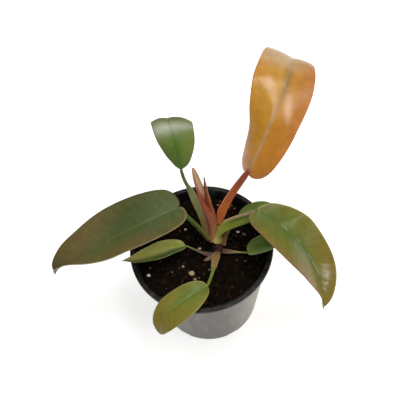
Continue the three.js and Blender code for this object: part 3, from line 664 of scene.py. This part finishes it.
# The open sheath, the leaf still rolled up in it, and the dry scale at the stem's foot.
shoots = {
    "sheath": {
        "path": [(9.9, 2.6, 99.2), (11.4, 7.6, 104.5), (12, 12, 110), (11.2, 16.4, 117.5),
                 (9.3, 20.8, 126.5), (6.7, 25.2, 137), (4.4, 30, 148.5), (2.6, 35, 163)],
        "wide": [7.4, 8.4, 9, 9, 8, 6.8, 5.6, 2.6], "thick": [7, 7.4, 6.6, 4.8, 2.4, 1.6, 1.3, 1],
        "channel": [0.2, 0.3, 0.4, 0.8, 1.8, 2.2, 1.6, 0.6], "face": (0.4, -0.8, 0.5), "roundOff": 0.05,
        "slot": "sheath_skin",
        "look": {
            "bands": ["#9a7a4e", "#8c623e", "#94543c", "#9c5038", "#ac5642", "#ad5844", "#a85046"],
            "sides": ["#93443a", "#9c5238"],
            "inner": {"colour": "#c0a47e", "share": [0, 0, 0, 0.3, 1, 1, 1, 0.8],
                      "start": [1, 1, 1, 0.6, 0, -0.35, -0.5, -0.5]},
        },
    },
    "new_leaf": {
        "path": [(13, 14, 109), (12.8, 17.5, 118.5), (11.6, 20.5, 130), (10.5, 23.5, 146),
                 (10.5, 28.5, 157.5)],
        "wide": [4, 5, 5, 3.2, 0.9], "thick": [3.2, 3.4, 3.2, 2.2, 0.8],
        "channel": [0.3, 0.6, 0.5, 0.2, 0], "face": (-0.6, -0.7, 0.4), "roundOff": 0.04,
        "slot": "new_leaf_skin",
        "look": {
            "bands": ["#b0523f", "#a84d38", "#9c4a33", "#85392c", "#5c2524"],
            "patches": [(0.5, 0.8, 0.4, 0.45, "#a8683a", 0.9), (0.4, -0.6, 0.4, 0.4, "#6c2424", 0.8)],
        },
    },
    "scale": {
        "path": [(10, -8, 95), (7, -9.5, 94.6), (3.6, -10.6, 94.2), (0, -11.5, 94)],
        "wide": [3.4, 4.4, 3.2, 0.9], "thick": [1, 1, 1, 0.9], "channel": [0.8, 0.9, 0.5, 0],
        "face": (0, 0, 1), "roundOff": 0.1, "slot": "scale_skin",
        "look": {"bands": ["#5c4632", "#75604a", "#6d5840"], "skin": {"roughness": 0.7}},
    },
}

for name, leaf in leaves.items():
    settle(makeBlade("leaf_" + name, leaf, leaf["look"]), "blade_" + name)
    stalk = {**leaf["stalk"], "path": [*leaf["stalk"]["path"], leaf["rib"][0]]}
    settle(makeStalk("stalk_" + name, stalk, leaf["stalkLook"]), "petiole_" + name)
for name, shoot in shoots.items():
    settle(makeStalk(name + "_fine", shoot, shoot["look"]), name)
print("leaves, stalks and shoots made")


# Stem: a short dark corky axis with ringed leaf scars and a rough skin.
stem = {
    "axis": [(14, -1, 66), (14, -1, 82), (13.8, -0.5, 91), (12.9, 1.6, 97), (12.4, 3, 100.5)],
    "radius": [4.2, 4.2, 4.3, 4.2, 3], "scars": 0.35, "lumps": 0.12, "steps": 90, "sides": 48,
    "crackSize": 2.381, "crackDepth": 0.6, "dark": "#1c0f0c", "light": "#4a2a20", "pale": "#7d5a48",
}


def stemMaterial():
    material, tree = newMaterial("corky stem")
    place = addNode(tree, "ShaderNodeTexCoord").outputs["Object"]
    cracks = addNode(tree, "ShaderNodeTexNoise", None, {
        "Vector": place, "Scale": 1 / (stem["crackSize"] * millimetre), "Detail": 5.0, "Roughness": 0.7})
    colour = addNode(tree, "ShaderNodeValToRGB", {"stops": [
        (0.35, rgba(stem["dark"])), (0.6, rgba(stem["light"])), (0.78, rgba(stem["pale"]))]},
        {"Fac": cracks.outputs["Fac"]})
    relief = addNode(tree, "ShaderNodeBump", None, {
        "Height": cracks.outputs["Fac"], "Strength": 0.8, "Distance": stem["crackDepth"] * millimetre})
    finishMaterial(tree, {"Base Color": colour.outputs[0], "Roughness": 0.6, "Normal": relief.outputs[0]})
    return material


def makeStem():
    at = lineThrough(stem["axis"], (0, -1, 0))[1]
    share, turn = ringGrid(stem["steps"], stem["sides"])
    place, _, up, side = at(share)
    scar = (stem["scars"] * np.clip(np.sin(share * 60), -0.2, 1)
            + stem["lumps"] * np.sin(3 * turn + share * 40))
    radius = along(stem["radius"], share) + scar
    points = place + side * (radius * np.cos(turn))[..., None] + up * (radius * np.sin(turn))[..., None]
    points = np.concatenate([points.reshape(-1, 3), [points[0].mean(0), points[-1].mean(0)]])
    return meshPiece("stem_fine", points, tubeFaces(*share.shape), stemMaterial())


settle(makeStem(), "stem")


# Pot: injection-moulded black polypropylene, thin, with a satin skin. Its outer wall below the rim is painted
# grey, a painted reflection of the bright floor, and the rim stays black.
pot = {
    "height": 100, "rimRadius": 60, "rimDepth": 3.8, "rimRound": 1.5, "rimWall": 1.4, "rimLip": 0.4,
    "neckRadius": 57, "footRadius": 43.5, "footRound": 1.4, "footWidth": 5, "wall": 1.3, "floor": 2,
    "recess": 1.4, "middleRadius": 17, "sides": 160, "notches": 6, "notchWidth": 9, "notchHeight": 3,
    "firstNotch": -67.5, "drainHoles": 6, "drainRadius": 3.5, "drainCircle": 28, "cutDepth": 20,
    # the wall greys are a painted reflection of the bright floor on the black plastic
    "black": "#141415", "wallReflectionGrey": "#5a564e", "wallReflectionPale": "#989188", "dust": "#8f8b82",
    "rightSheenSpan": (8, 44), "marksPerMetre": (140.0, 140.0, 40.0), "grainSize": 0.625, "grainDepth": 0.1,
    "roughness": 0.42, "specular": 0.26,
}


def arc(centre, radius, start, end, count=6):
    angles = np.radians(np.linspace(start, end, count))
    return [(centre[0] + radius * math.cos(a), centre[1] + radius * math.sin(a)) for a in angles]


def makePot():
    p = pot
    underRim = p["height"] - p["rimDepth"]
    inner = p["neckRadius"] - p["wall"]
    floorTop = p["recess"] + p["floor"]
    foot, middle, lift, bend = p["footRadius"], p["middleRadius"], p["recess"], p["rimRound"]
    heel, lip = p["footRound"], p["rimLip"]
    profile = [(0, 0), (middle, 0), (middle + lift, lift), (foot - p["footWidth"] - lift, lift),
               (foot - p["footWidth"], 0), (foot - heel, 0)]
    profile += arc((foot - heel, heel), heel, -70, -5, 5)
    profile += [(mix(foot, p["neckRadius"], t), mix(1.6, underRim + p["rimWall"], t))
                for t in np.linspace(0.04, 1, 14)]
    profile += [(p["rimRadius"] - p["rimWall"], underRim + p["rimWall"]),
                (p["rimRadius"] - p["rimWall"], underRim)]
    profile += arc((p["rimRadius"] - lip, underRim + lip), lip, -90, 0, 4)
    profile += arc((p["rimRadius"] - bend, p["height"] - bend), bend, 0, 90, 7)
    profile += arc((inner + bend, p["height"] - bend), bend, 90, 180, 7)
    profile += [(mix(inner, foot - p["wall"] + 0.3, t), mix(p["height"] - bend, floorTop + 1.5, t))
                for t in np.linspace(0.04, 1, 12)]
    profile += [(foot - p["wall"] - 1.2, floorTop), (0, floorTop)]
    turns = 2 * np.pi * np.arange(p["sides"]) / p["sides"]
    points = [(r * math.cos(a), r * math.sin(a), z) for r, z in profile[1:-1] for a in turns]
    points += [(0, 0, profile[0][1]), (0, 0, profile[-1][1])]
    piece = meshPiece("pot_fine", points, tubeFaces(len(profile) - 2, p["sides"]), potMaterial())
    cutters = bmesh.new()
    for i in range(p["notches"]):
        turn = Matrix.Rotation(math.radians(p["firstNotch"] + i * 360 / p["notches"]), 4, "Z")
        size = Matrix.Diagonal((p["cutDepth"], p["notchWidth"], 2 * p["notchHeight"], 1))
        bmesh.ops.create_cube(cutters, size=1.0, matrix=turn @ Matrix.Translation((foot, 0, 0)) @ size)
    for i in range(p["drainHoles"]):
        turn = Matrix.Rotation(math.radians(i * 360 / p["drainHoles"]), 4, "Z")
        bmesh.ops.create_cone(cutters, cap_ends=True, segments=32, radius1=p["drainRadius"],
                              radius2=p["drainRadius"], depth=p["cutDepth"],
                              matrix=turn @ Matrix.Translation((p["drainCircle"], 0, 0)))
    bmesh.ops.scale(cutters, vec=(millimetre,) * 3, verts=cutters.verts)
    cutterMesh = bpy.data.meshes.new("cutters")
    cutters.to_mesh(cutterMesh)
    cutters.free()
    cutter = addObject("cutters", cutterMesh)
    modifier = piece.modifiers.new("cut", "BOOLEAN")
    modifier.operation, modifier.solver, modifier.object = "DIFFERENCE", "EXACT", cutter
    finished = bpy.data.meshes.new_from_object(piece.evaluated_get(bpy.context.evaluated_depsgraph_get()))
    piece.modifiers.clear()
    piece.data = finished
    bpy.data.objects.remove(cutter)
    finished.shade_smooth()
    finished.set_sharp_from_angle(angle=math.radians(38))
    return piece


def potMaterial():
    material, tree = newMaterial("moulded black polypropylene")
    place = addNode(tree, "ShaderNodeTexCoord").outputs["Object"]
    parts = addNode(tree, "ShaderNodeSeparateXYZ", None, {"Vector": place})
    # outside of the wall, where the painted reflection grey goes: below the rim, and nearer the outer face
    # than the inner one of the tapered wall
    flat = addNode(tree, "ShaderNodeVectorMath", {"operation": "MULTIPLY"}, {0: place, 1: (1, 1, 0)})
    radius = addNode(tree, "ShaderNodeVectorMath", {"operation": "LENGTH"}, {0: flat.outputs[0]})
    taper = (pot["neckRadius"] - pot["footRadius"]) / pot["height"]
    footward = addNode(tree, "ShaderNodeMath", {"operation": "MULTIPLY_ADD"}, {
        0: parts.outputs["Z"], 1: -taper, 2: radius.outputs["Value"]})
    outer = addNode(tree, "ShaderNodeMapRange", None, {
        "Value": footward.outputs[0], "From Min": (pot["footRadius"] - 0.8 * pot["wall"]) * millimetre,
        "From Max": (pot["footRadius"] - 0.4 * pot["wall"]) * millimetre})
    underRim = pot["height"] - pot["rimDepth"]
    below = addNode(tree, "ShaderNodeMapRange", None, {
        "Value": parts.outputs["Z"], "From Min": (underRim + 0.6) * millimetre,
        "From Max": (underRim - 0.4) * millimetre})
    outside = addNode(tree, "ShaderNodeMath", {"operation": "MULTIPLY"}, {
        0: outer.outputs[0], 1: below.outputs[0]})
    # painted sheen: the wall's painted reflection grey grows paler towards its right, standing in for more
    # light falling there
    rightSheenShare = addNode(tree, "ShaderNodeMapRange", {"interpolation_type": "SMOOTHSTEP"}, {
        "Value": parts.outputs["X"], "From Min": pot["rightSheenSpan"][0] * millimetre,
        "From Max": pot["rightSheenSpan"][1] * millimetre})
    grey = addNode(tree, "ShaderNodeMix", {"data_type": "RGBA"}, {
        0: rightSheenShare.outputs[0], 6: rgba(pot["wallReflectionGrey"]), 7: rgba(pot["wallReflectionPale"])})
    wall = addNode(tree, "ShaderNodeMix", {"data_type": "RGBA"}, {
        0: outside.outputs[0], 6: rgba(pot["black"]), 7: grey.outputs[2]})
    # dust and water marks, a few millimetres across, drawn down the wall
    drawn = addNode(tree, "ShaderNodeMapping", None, {"Vector": place, "Scale": pot["marksPerMetre"]})
    marks = addNode(tree, "ShaderNodeTexNoise", None, {
        "Vector": drawn.outputs[0], "Scale": 1.0, "Detail": 5.0, "Roughness": 0.65})
    film = addNode(tree, "ShaderNodeMapRange", None, {
        "Value": marks.outputs["Fac"], "From Min": 0.48, "From Max": 0.75, "To Max": 0.22})
    dusty = addNode(tree, "ShaderNodeMix", {"data_type": "RGBA"}, {
        0: film.outputs[0], 6: wall.outputs[2], 7: rgba(pot["dust"])})
    grain = addNode(tree, "ShaderNodeTexNoise", None, {
        "Vector": place, "Scale": 1 / (pot["grainSize"] * millimetre), "Detail": 2.0})
    relief = addNode(tree, "ShaderNodeBump", None, {
        "Height": grain.outputs["Fac"], "Strength": 0.12, "Distance": pot["grainDepth"] * millimetre})
    roughness = addNode(tree, "ShaderNodeMapRange", None, {
        "Value": marks.outputs["Fac"], "From Min": 0.3, "From Max": 0.7,
        "To Min": pot["roughness"] - 0.08, "To Max": pot["roughness"] + 0.1})
    finishMaterial(tree, {
        "Base Color": dusty.outputs[2], "Roughness": roughness.outputs[0], "IOR": 1.49,
        "Specular IOR Level": pot["specular"], "Normal": relief.outputs[0]})
    return material


settle(makePot(), "pot")
print("stem and pot made")


# Potting mix: damp peat and fine bark, near black, with reddish fibres, a few chips, perlite and grit.
soil = {
    "level": 90, "mound": 1, "moundWidth": 26, "swell": 0.5, "clearance": 0.8, "floorGap": 0.4,
    "skirt": 3, "skirtInset": 2, "stemGap": 6, "crumbs": 70, "crumbSize": (2.5, 6.5), "crumbHeight": 1.6,
    "seed": 11, "rings": 80, "sides": 200, "roughHeight": 1.1, "roughSize": 3.2,
    "patchRings": 30, "patchSides": 90, "lumpSize": 3.125, "lumpDepth": 1.0, "grainPatch": 3.333,
    "grainPit": 0.6667, "grainDepth": 0.3, "grainRoughness": 0.85, "stonePit": 1.4286, "stoneDepth": 0.4,
    "stoneLumps": 0.35, "stoneLong": 1.15, "stoneFlat": 0.7, "stoneLift": 0.3, "stoneGap": 0.4,
    "dark": "#060402", "brown": "#150d05", "red": "#2c180b", "specular": 0.1,
    "grains": [
        # name, points per square metre, smallest and largest mm, flatness, colours, seed, roundness
        ("peat", 420000, 0.7, 2.0, 0.7, ("#070402", "#1a1005"), 3, 1),
        ("bark", 20000, 2.0, 4.6, 0.45, ("#100903", "#2a190b"), 5, 2),
        ("fibre", 9000, 1.0, 2.2, 0.35, ("#382012", "#74492c"), 8, 2),
        ("perlite", 3000, 0.6, 1.3, 0.85, ("#8c8474", "#e0d8c8"), 13, 2),
    ],
    # larger stones and reddish bark crumbs that show: place, size, colour
    "stones": [
        (-11.2, -20.7, 4.4, "#b8a478"), (-8.9, -26.2, 2.6, "#9c8e68"), (-17.5, -12.7, 2.2, "#a89c70"),
        (-46.8, -16.0, 2.6, "#f0ece4"), (-2.0, 1.6, 2.8, "#c0a886"), (-11.6, 22.0, 2.0, "#e4ded2"),
        (32.3, 12.7, 2.4, "#d8d2c2"), (4.4, -19.5, 2.0, "#8a8478"), (37.2, 9.6, 3.0, "#5c5a52"),
        (30.5, 40.5, 2.2, "#8a5a40"), (24.0, 44.5, 2.4, "#74482f"), (19.1, 42.6, 2.0, "#a0704e"),
        (27.0, 43.0, 1.8, "#b58a68"), (21.5, 46.0, 1.8, "#8a5a40"), (33.0, 37.0, 2.2, "#6a4430"),
        (28.5, 38.5, 1.6, "#a87a58"), (23.0, 40.0, 1.6, "#7c5038"), (-36.3, -5.4, 2.0, "#5c3c28"),
        (-45.1, -9.6, 1.8, "#7a5438"), (-27.1, -16.3, 1.8, "#6a4a34"), (34.9, -16.9, 2.0, "#4c4236"),
    ],
}


def seeded(seed):
    state = seed
    while True:
        state = (state * 1664525 + 1013904223) % 4294967296
        yield state / 4294967296


def soilRadius(height):
    return mix(pot["footRadius"], pot["neckRadius"], height / pot["height"]) - pot["wall"] - soil["clearance"]


def soilHeights(topRadius):
    # returns a function that gives the height of the soil's top, with its mound and crumbs
    draw = seeded(soil["seed"])
    crumbs = []
    for _ in range(soil["crumbs"]):
        turn, out = next(draw) * 2 * math.pi, math.sqrt(next(draw)) * topRadius
        size = mix(*soil["crumbSize"], next(draw))
        crumbs.append((out * math.cos(turn), out * math.sin(turn), size,
                       mix(-0.6, 1, next(draw)) * soil["crumbHeight"]))

    def heightAt(x, y):
        fromStem = np.hypot(x - stem["axis"][0][0], y - stem["axis"][0][1])
        z = soil["level"] + soil["mound"] * np.exp(-(fromStem / soil["moundWidth"]) ** 2)
        z = z + soil["swell"] * np.sin(x / 9) * np.cos(y / 7)
        for cx, cy, size, height in crumbs:
            away = np.hypot(x - cx, y - cy) / size
            z = z + np.where(away < 2, height * np.exp(-1.6 * away * away), 0)
        return z

    return heightAt


def soilMaterial():
    material, tree = newMaterial("damp peat and bark")
    place = addNode(tree, "ShaderNodeTexCoord").outputs["Object"]
    lumps = addNode(tree, "ShaderNodeTexNoise", None, {
        "Vector": place, "Scale": 1 / (soil["lumpSize"] * millimetre), "Detail": 6.0, "Roughness": 0.7})
    colour = addNode(tree, "ShaderNodeValToRGB", {"stops": [
        (0.35, rgba(soil["dark"])), (0.55, rgba(soil["brown"])), (0.75, rgba(soil["red"]))]},
        {"Fac": lumps.outputs["Fac"]})
    relief = addNode(tree, "ShaderNodeBump", None, {
        "Height": lumps.outputs["Fac"], "Strength": 1.0, "Distance": soil["lumpDepth"] * millimetre})
    finishMaterial(tree, {"Base Color": colour.outputs[0], "Roughness": 0.9, "Normal": relief.outputs[0],
                          "Specular IOR Level": soil["specular"]})
    return material


def grainMaterial(name, colours):
    material, tree = newMaterial(name)
    place = addNode(tree, "ShaderNodeTexCoord").outputs["Object"]
    patch = addNode(tree, "ShaderNodeTexNoise", None, {
        "Vector": place, "Scale": 1 / (soil["grainPatch"] * millimetre), "Detail": 2.0})
    colour = addNode(tree, "ShaderNodeValToRGB", {"stops": [
        (0.38, rgba(colours[0])), (0.64, rgba(colours[1]))]}, {"Fac": patch.outputs["Fac"]})
    pits = addNode(tree, "ShaderNodeTexNoise", None, {
        "Vector": place, "Scale": 1 / (soil["grainPit"] * millimetre), "Detail": 2.0})
    relief = addNode(tree, "ShaderNodeBump", None, {
        "Height": pits.outputs["Fac"], "Strength": 0.6, "Distance": soil["grainDepth"] * millimetre})
    finishMaterial(tree, {"Base Color": colour.outputs[0], "Roughness": soil["grainRoughness"],
                          "Normal": relief.outputs[0], "Specular IOR Level": soil["specular"]})
    return material


def makeSoil(topRadius, heightAt):
    low = pot["recess"] + pot["floor"] + soil["floorGap"]
    sides, rings = soil["sides"], soil["rings"]
    turns = 2 * np.pi * np.arange(sides) / sides
    radii = topRadius * (1 - np.arange(rings) / rings) ** 0.9
    r, a = np.meshgrid(radii, turns, indexing="ij")
    x, y = r * np.cos(a), r * np.sin(a)
    z = heightAt(x, y)
    size = soil["roughSize"]
    rough = np.array([noise.fractal((px / size, py / size, 0.5), 0.9, 2.1, 4)
                      for px, py in zip(x.ravel(), y.ravel())]).reshape(x.shape)
    z = z + soil["roughHeight"] * rough * np.clip((topRadius - r) / 3, 0.2, 1)
    top = np.stack([x, y, z], -1).reshape(-1, 3)
    skirt = []
    for height, inset in ((low, soil["skirtInset"]), (low + soil["skirt"], 0)):
        radius = soilRadius(height) - inset
        skirt += [(radius * math.cos(t), radius * math.sin(t), height) for t in turns]
    points = np.concatenate([skirt, top, [(0, 0, low)], [(0, 0, float(heightAt(0.0, 0.0)))]])
    return meshPiece("soil_fine", points, tubeFaces(rings + 2, sides), soilMaterial())


# A grain is a ball pushed in and out by noise, then turned, stretched and flattened at random.
grainForm = {"lumpScale": 2.3, "push": (0.65, 1.25), "tilt": 0.7, "fullTurn": 6.28, "stretch": (0.6, 1.5)}


def grainTree(name):
    # scatters flattened, lumpy grains over the faces of a patch; every size is an input
    tree = bpy.data.node_groups.new(name, "GeometryNodeTree")
    tree.interface.new_socket("Geometry", in_out="OUTPUT", socket_type="NodeSocketGeometry")
    for label, kind in (("Geometry", "NodeSocketGeometry"), ("Density", "NodeSocketFloat"),
                        ("Smallest", "NodeSocketFloat"), ("Largest", "NodeSocketFloat"),
                        ("Flatness", "NodeSocketFloat"), ("Seed", "NodeSocketInt"),
                        ("Roundness", "NodeSocketInt"), ("Material", "NodeSocketMaterial")):
        tree.interface.new_socket(label, in_out="INPUT", socket_type=kind)
    given = addNode(tree, "NodeGroupInput").outputs
    spots = addNode(tree, "GeometryNodeDistributePointsOnFaces", None, {
        "Mesh": given["Geometry"], "Density": given["Density"], "Seed": given["Seed"]})
    ball = addNode(tree, "GeometryNodeMeshIcoSphere", None, {
        "Radius": 0.5, "Subdivisions": given["Roundness"]})
    place = addNode(tree, "GeometryNodeInputPosition")
    lumps = addNode(tree, "ShaderNodeTexNoise", None, {
        "Vector": place.outputs[0], "Scale": grainForm["lumpScale"], "Detail": 1.0})
    pushed = addNode(tree, "ShaderNodeMapRange", None, {
        "Value": lumps.outputs["Fac"], "From Min": 0.3, "From Max": 0.7, "To Min": grainForm["push"][0],
        "To Max": grainForm["push"][1]})
    shaped = addNode(tree, "ShaderNodeVectorMath", {"operation": "SCALE"}, {
        "Vector": place.outputs[0], "Scale": pushed.outputs[0]})
    grain = addNode(tree, "GeometryNodeSetPosition", None, {
        "Geometry": ball.outputs["Mesh"], "Position": shaped.outputs[0]})
    tilt = grainForm["tilt"]
    turn = addNode(tree, "FunctionNodeRandomValue", {"data_type": "FLOAT_VECTOR"}, {
        "Min": (-tilt, -tilt, 0.0), "Max": (tilt, tilt, grainForm["fullTurn"]), "Seed": given["Seed"]})
    size = addNode(tree, "FunctionNodeRandomValue", {"data_type": "FLOAT"}, {
        2: given["Smallest"], 3: given["Largest"], "Seed": given["Seed"]})
    stretch = addNode(tree, "FunctionNodeRandomValue", {"data_type": "FLOAT"}, {
        2: grainForm["stretch"][0], 3: grainForm["stretch"][1], "Seed": given["Seed"]})
    wide = addNode(tree, "ShaderNodeMath", {"operation": "MULTIPLY"}, {
        0: size.outputs[1], 1: stretch.outputs[1]})
    tall = addNode(tree, "ShaderNodeMath", {"operation": "MULTIPLY"}, {
        0: size.outputs[1], 1: given["Flatness"]})
    scale = addNode(tree, "ShaderNodeCombineXYZ", None, {
        "X": wide.outputs[0], "Y": size.outputs[1], "Z": tall.outputs[0]})
    strewn = addNode(tree, "GeometryNodeInstanceOnPoints", None, {
        "Points": spots.outputs["Points"], "Instance": grain.outputs[0], "Rotation": turn.outputs[0],
        "Scale": scale.outputs[0]})
    real = addNode(tree, "GeometryNodeRealizeInstances", None, {"Geometry": strewn.outputs[0]})
    smooth = addNode(tree, "GeometryNodeSetShadeSmooth", None, {"Geometry": real.outputs[0]})
    finished = addNode(tree, "GeometryNodeSetMaterial", None, {
        "Geometry": smooth.outputs[0], "Material": given["Material"]})
    addNode(tree, "NodeGroupOutput", None, {"Geometry": finished.outputs[0]})
    return tree


def strewGrains(patch, grains, tree):
    # one plain mesh of grains, spread over a patch of the soil's top
    name, density, smallest, largest, flatness, colours, seed, roundness = grains
    spread = addObject("grains_" + name, patch.copy())
    modifier = spread.modifiers.new("strew", "NODES")
    modifier.node_group = tree
    values = {"Density": float(density), "Smallest": smallest * millimetre, "Largest": largest * millimetre,
              "Flatness": flatness, "Seed": seed, "Roundness": roundness,
              "Material": grainMaterial(name + " grains", colours)}
    for item in tree.interface.items_tree:
        if item.in_out == "INPUT" and item.name in values:
            modifier[item.identifier] = values[item.name]
    bpy.context.view_layer.update()
    finished = bpy.data.meshes.new_from_object(spread.evaluated_get(bpy.context.evaluated_depsgraph_get()))
    spread.modifiers.clear()
    spread.data = finished
    return spread


def topPatch(topRadius, heightAt):
    # an open patch of the soil's top, a coarse copy clear of the stem, that grains are spread over
    rings, sides = soil["patchRings"], soil["patchSides"]
    radii = np.linspace(topRadius - soil["clearance"], 0.4, rings)
    r, a = np.meshgrid(radii, 2 * np.pi * np.arange(sides) / sides, indexing="ij")
    x, y = r * np.cos(a), r * np.sin(a)
    points = np.stack([x, y, heightAt(x, y) + 0.2], -1).reshape(-1, 3)
    clear = np.hypot(points[:, 0] - stem["axis"][0][0], points[:, 1] - stem["axis"][0][1]) > soil["stemGap"]
    mesh = bpy.data.meshes.new("patch")
    faces = [f for f in gridFaces(rings, sides, closed=True) if clear[f[0]]]
    mesh.from_pydata((points * millimetre).tolist(), [], faces)
    return mesh


def makeStones(heightAt):
    shell = bmesh.new()
    layer = shell.verts.layers.float_color.new("tint")
    for i, (x, y, size, colour) in enumerate(soil["stones"]):
        seat = Vector((x, y, float(heightAt(x, y)) + soil["stoneLift"] * size + soil["stoneGap"]))
        for vert in bmesh.ops.create_icosphere(shell, subdivisions=3, radius=size / 2)["verts"]:
            lump = noise.noise(vert.co * (1.6 / size) + Vector((i * 7.3, 0, 0)))
            co = vert.co * (1 + soil["stoneLumps"] * lump)
            vert.co = seat + Vector((co.x * soil["stoneLong"], co.y, co.z * soil["stoneFlat"]))
            vert[layer] = rgba(colour)
    bmesh.ops.scale(shell, vec=(millimetre,) * 3, verts=shell.verts)
    mesh = bpy.data.meshes.new("stones")
    shell.to_mesh(mesh)
    shell.free()
    mesh.shade_smooth()
    material, tree = newMaterial("perlite and grit")
    tint = addNode(tree, "ShaderNodeAttribute", {"attribute_name": "tint"}).outputs["Color"]
    place = addNode(tree, "ShaderNodeTexCoord").outputs["Object"]
    pits = addNode(tree, "ShaderNodeTexNoise", None, {
        "Vector": place, "Scale": 1 / (soil["stonePit"] * millimetre), "Detail": 4.0})
    shade = addNode(tree, "ShaderNodeMapRange", None, {
        "Value": pits.outputs["Fac"], "From Min": 0.3, "From Max": 0.7, "To Min": 0.45, "To Max": 1.15})
    colour = addNode(tree, "ShaderNodeVectorMath", {"operation": "SCALE"}, {
        "Vector": tint, "Scale": shade.outputs[0]})
    relief = addNode(tree, "ShaderNodeBump", None, {
        "Height": pits.outputs["Fac"], "Strength": 0.7, "Distance": soil["stoneDepth"] * millimetre})
    finishMaterial(tree, {"Base Color": colour.outputs[0], "Roughness": soil["grainRoughness"],
                          "Normal": relief.outputs[0]})
    mesh.materials.append(material)
    return addObject("stones", mesh)


topRadius = soilRadius(soil["level"])
heightAt = soilHeights(topRadius)
settle(makeSoil(topRadius, heightAt), "soil")
stones = makeStones(heightAt)
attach(stones, "root")
grainNodes = grainTree("strewn grains")
patch = topPatch(topRadius, heightAt)
for grains in soil["grains"]:
    spread = strewGrains(patch, grains, grainNodes)
    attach(spread, "root")
    print("grains:", grains[0], len(spread.data.polygons), "faces")
print("potting mix made")


# Studio: white paper that glows a little, a long tube and a panel overhead, and small lamps at the side
# and the back.
studio = {
    "floorHalf": 3, "floor": "#dcdcdc", "floorGlow": 0.66, "sky": "#fffaf2", "skyStrength": 0.2,
    # name, place and aim in metres, turn about its own axis in degrees, width and depth, watts, colour
    "lamps": [
        ("tube", (0.6, 0.06, 1.0), (0.6, 0.06, 0.0), 7.6, 2.8, 0.03, 6.5, "#fffdf8"),
        ("ceiling", (0.23, -0.15, 1.0), (0.23, -0.15, 0.0), 0, 0.09, 0.56, 3.6, "#ffffff"),
        ("side", (0.81, -0.46, 0.26), (0.085, -0.04, 0.11), 0, 0.14, 0.06, 0.9, "#ffffff"),
        ("back", (-0.13, 0.93, 0.55), (-0.01, 0.055, 0.19), 0, 0.7, 0.06, 1.4, "#f4f7ff"),
    ],
}
camera = {
    "place": (0.0101, -0.2868, 0.6084), "right": (0.9898, -0.1204, -0.0764),
    "up": (0.1426, 0.8359, 0.53), "back": (0.0, -0.5355, 0.8445), "lens": 60.58, "sensor": 36,
}


def makeStudio():
    half = studio["floorHalf"]
    floorMesh = bpy.data.meshes.new("floor")
    floorMesh.from_pydata([(-half, -half, 0), (half, -half, 0), (half, half, 0), (-half, half, 0)], [],
                          [(0, 1, 2, 3)])
    floor = addObject("floor", floorMesh)
    material, tree = newMaterial("white paper floor")
    finishMaterial(tree, {
        "Base Color": rgba(studio["floor"]), "Roughness": 0.9, "Emission Color": rgba("#ffffff"),
        "Emission Strength": studio["floorGlow"]})
    floorMesh.materials.append(material)
    world = bpy.data.worlds.new("studio")
    bpy.context.scene.world = world
    world.use_nodes = True
    background = world.node_tree.nodes["Background"]
    background.inputs["Color"].default_value = rgba(studio["sky"])
    background.inputs["Strength"].default_value = studio["skyStrength"]
    for name, place, aim, turn, width, depth, watts, colour in studio["lamps"]:
        lamp = bpy.data.lights.new(name, "AREA")
        lamp.shape, lamp.size, lamp.size_y, lamp.energy = "RECTANGLE", width, depth, watts
        lamp.color = toLinear(colour)
        holder = addObject(name, lamp)
        facing = (Vector(aim) - Vector(place)).to_track_quat("-Z", "Y")
        holder.rotation_euler = (facing @ Quaternion((0, 0, 1), math.radians(turn))).to_euler()
        holder.location = place
    eye = bpy.data.cameras.new("camera")
    eye.lens, eye.sensor_width, eye.clip_start = camera["lens"], camera["sensor"], 0.01
    holder = addObject("camera", eye)
    turn = Matrix((camera["right"], camera["up"], camera["back"])).transposed()
    holder.matrix_world = Matrix.Translation(camera["place"]) @ turn.to_4x4()
    bpy.context.scene.camera = holder
    bpy.context.scene.view_settings.view_transform = "Standard"


makeStudio()
print("studio made")
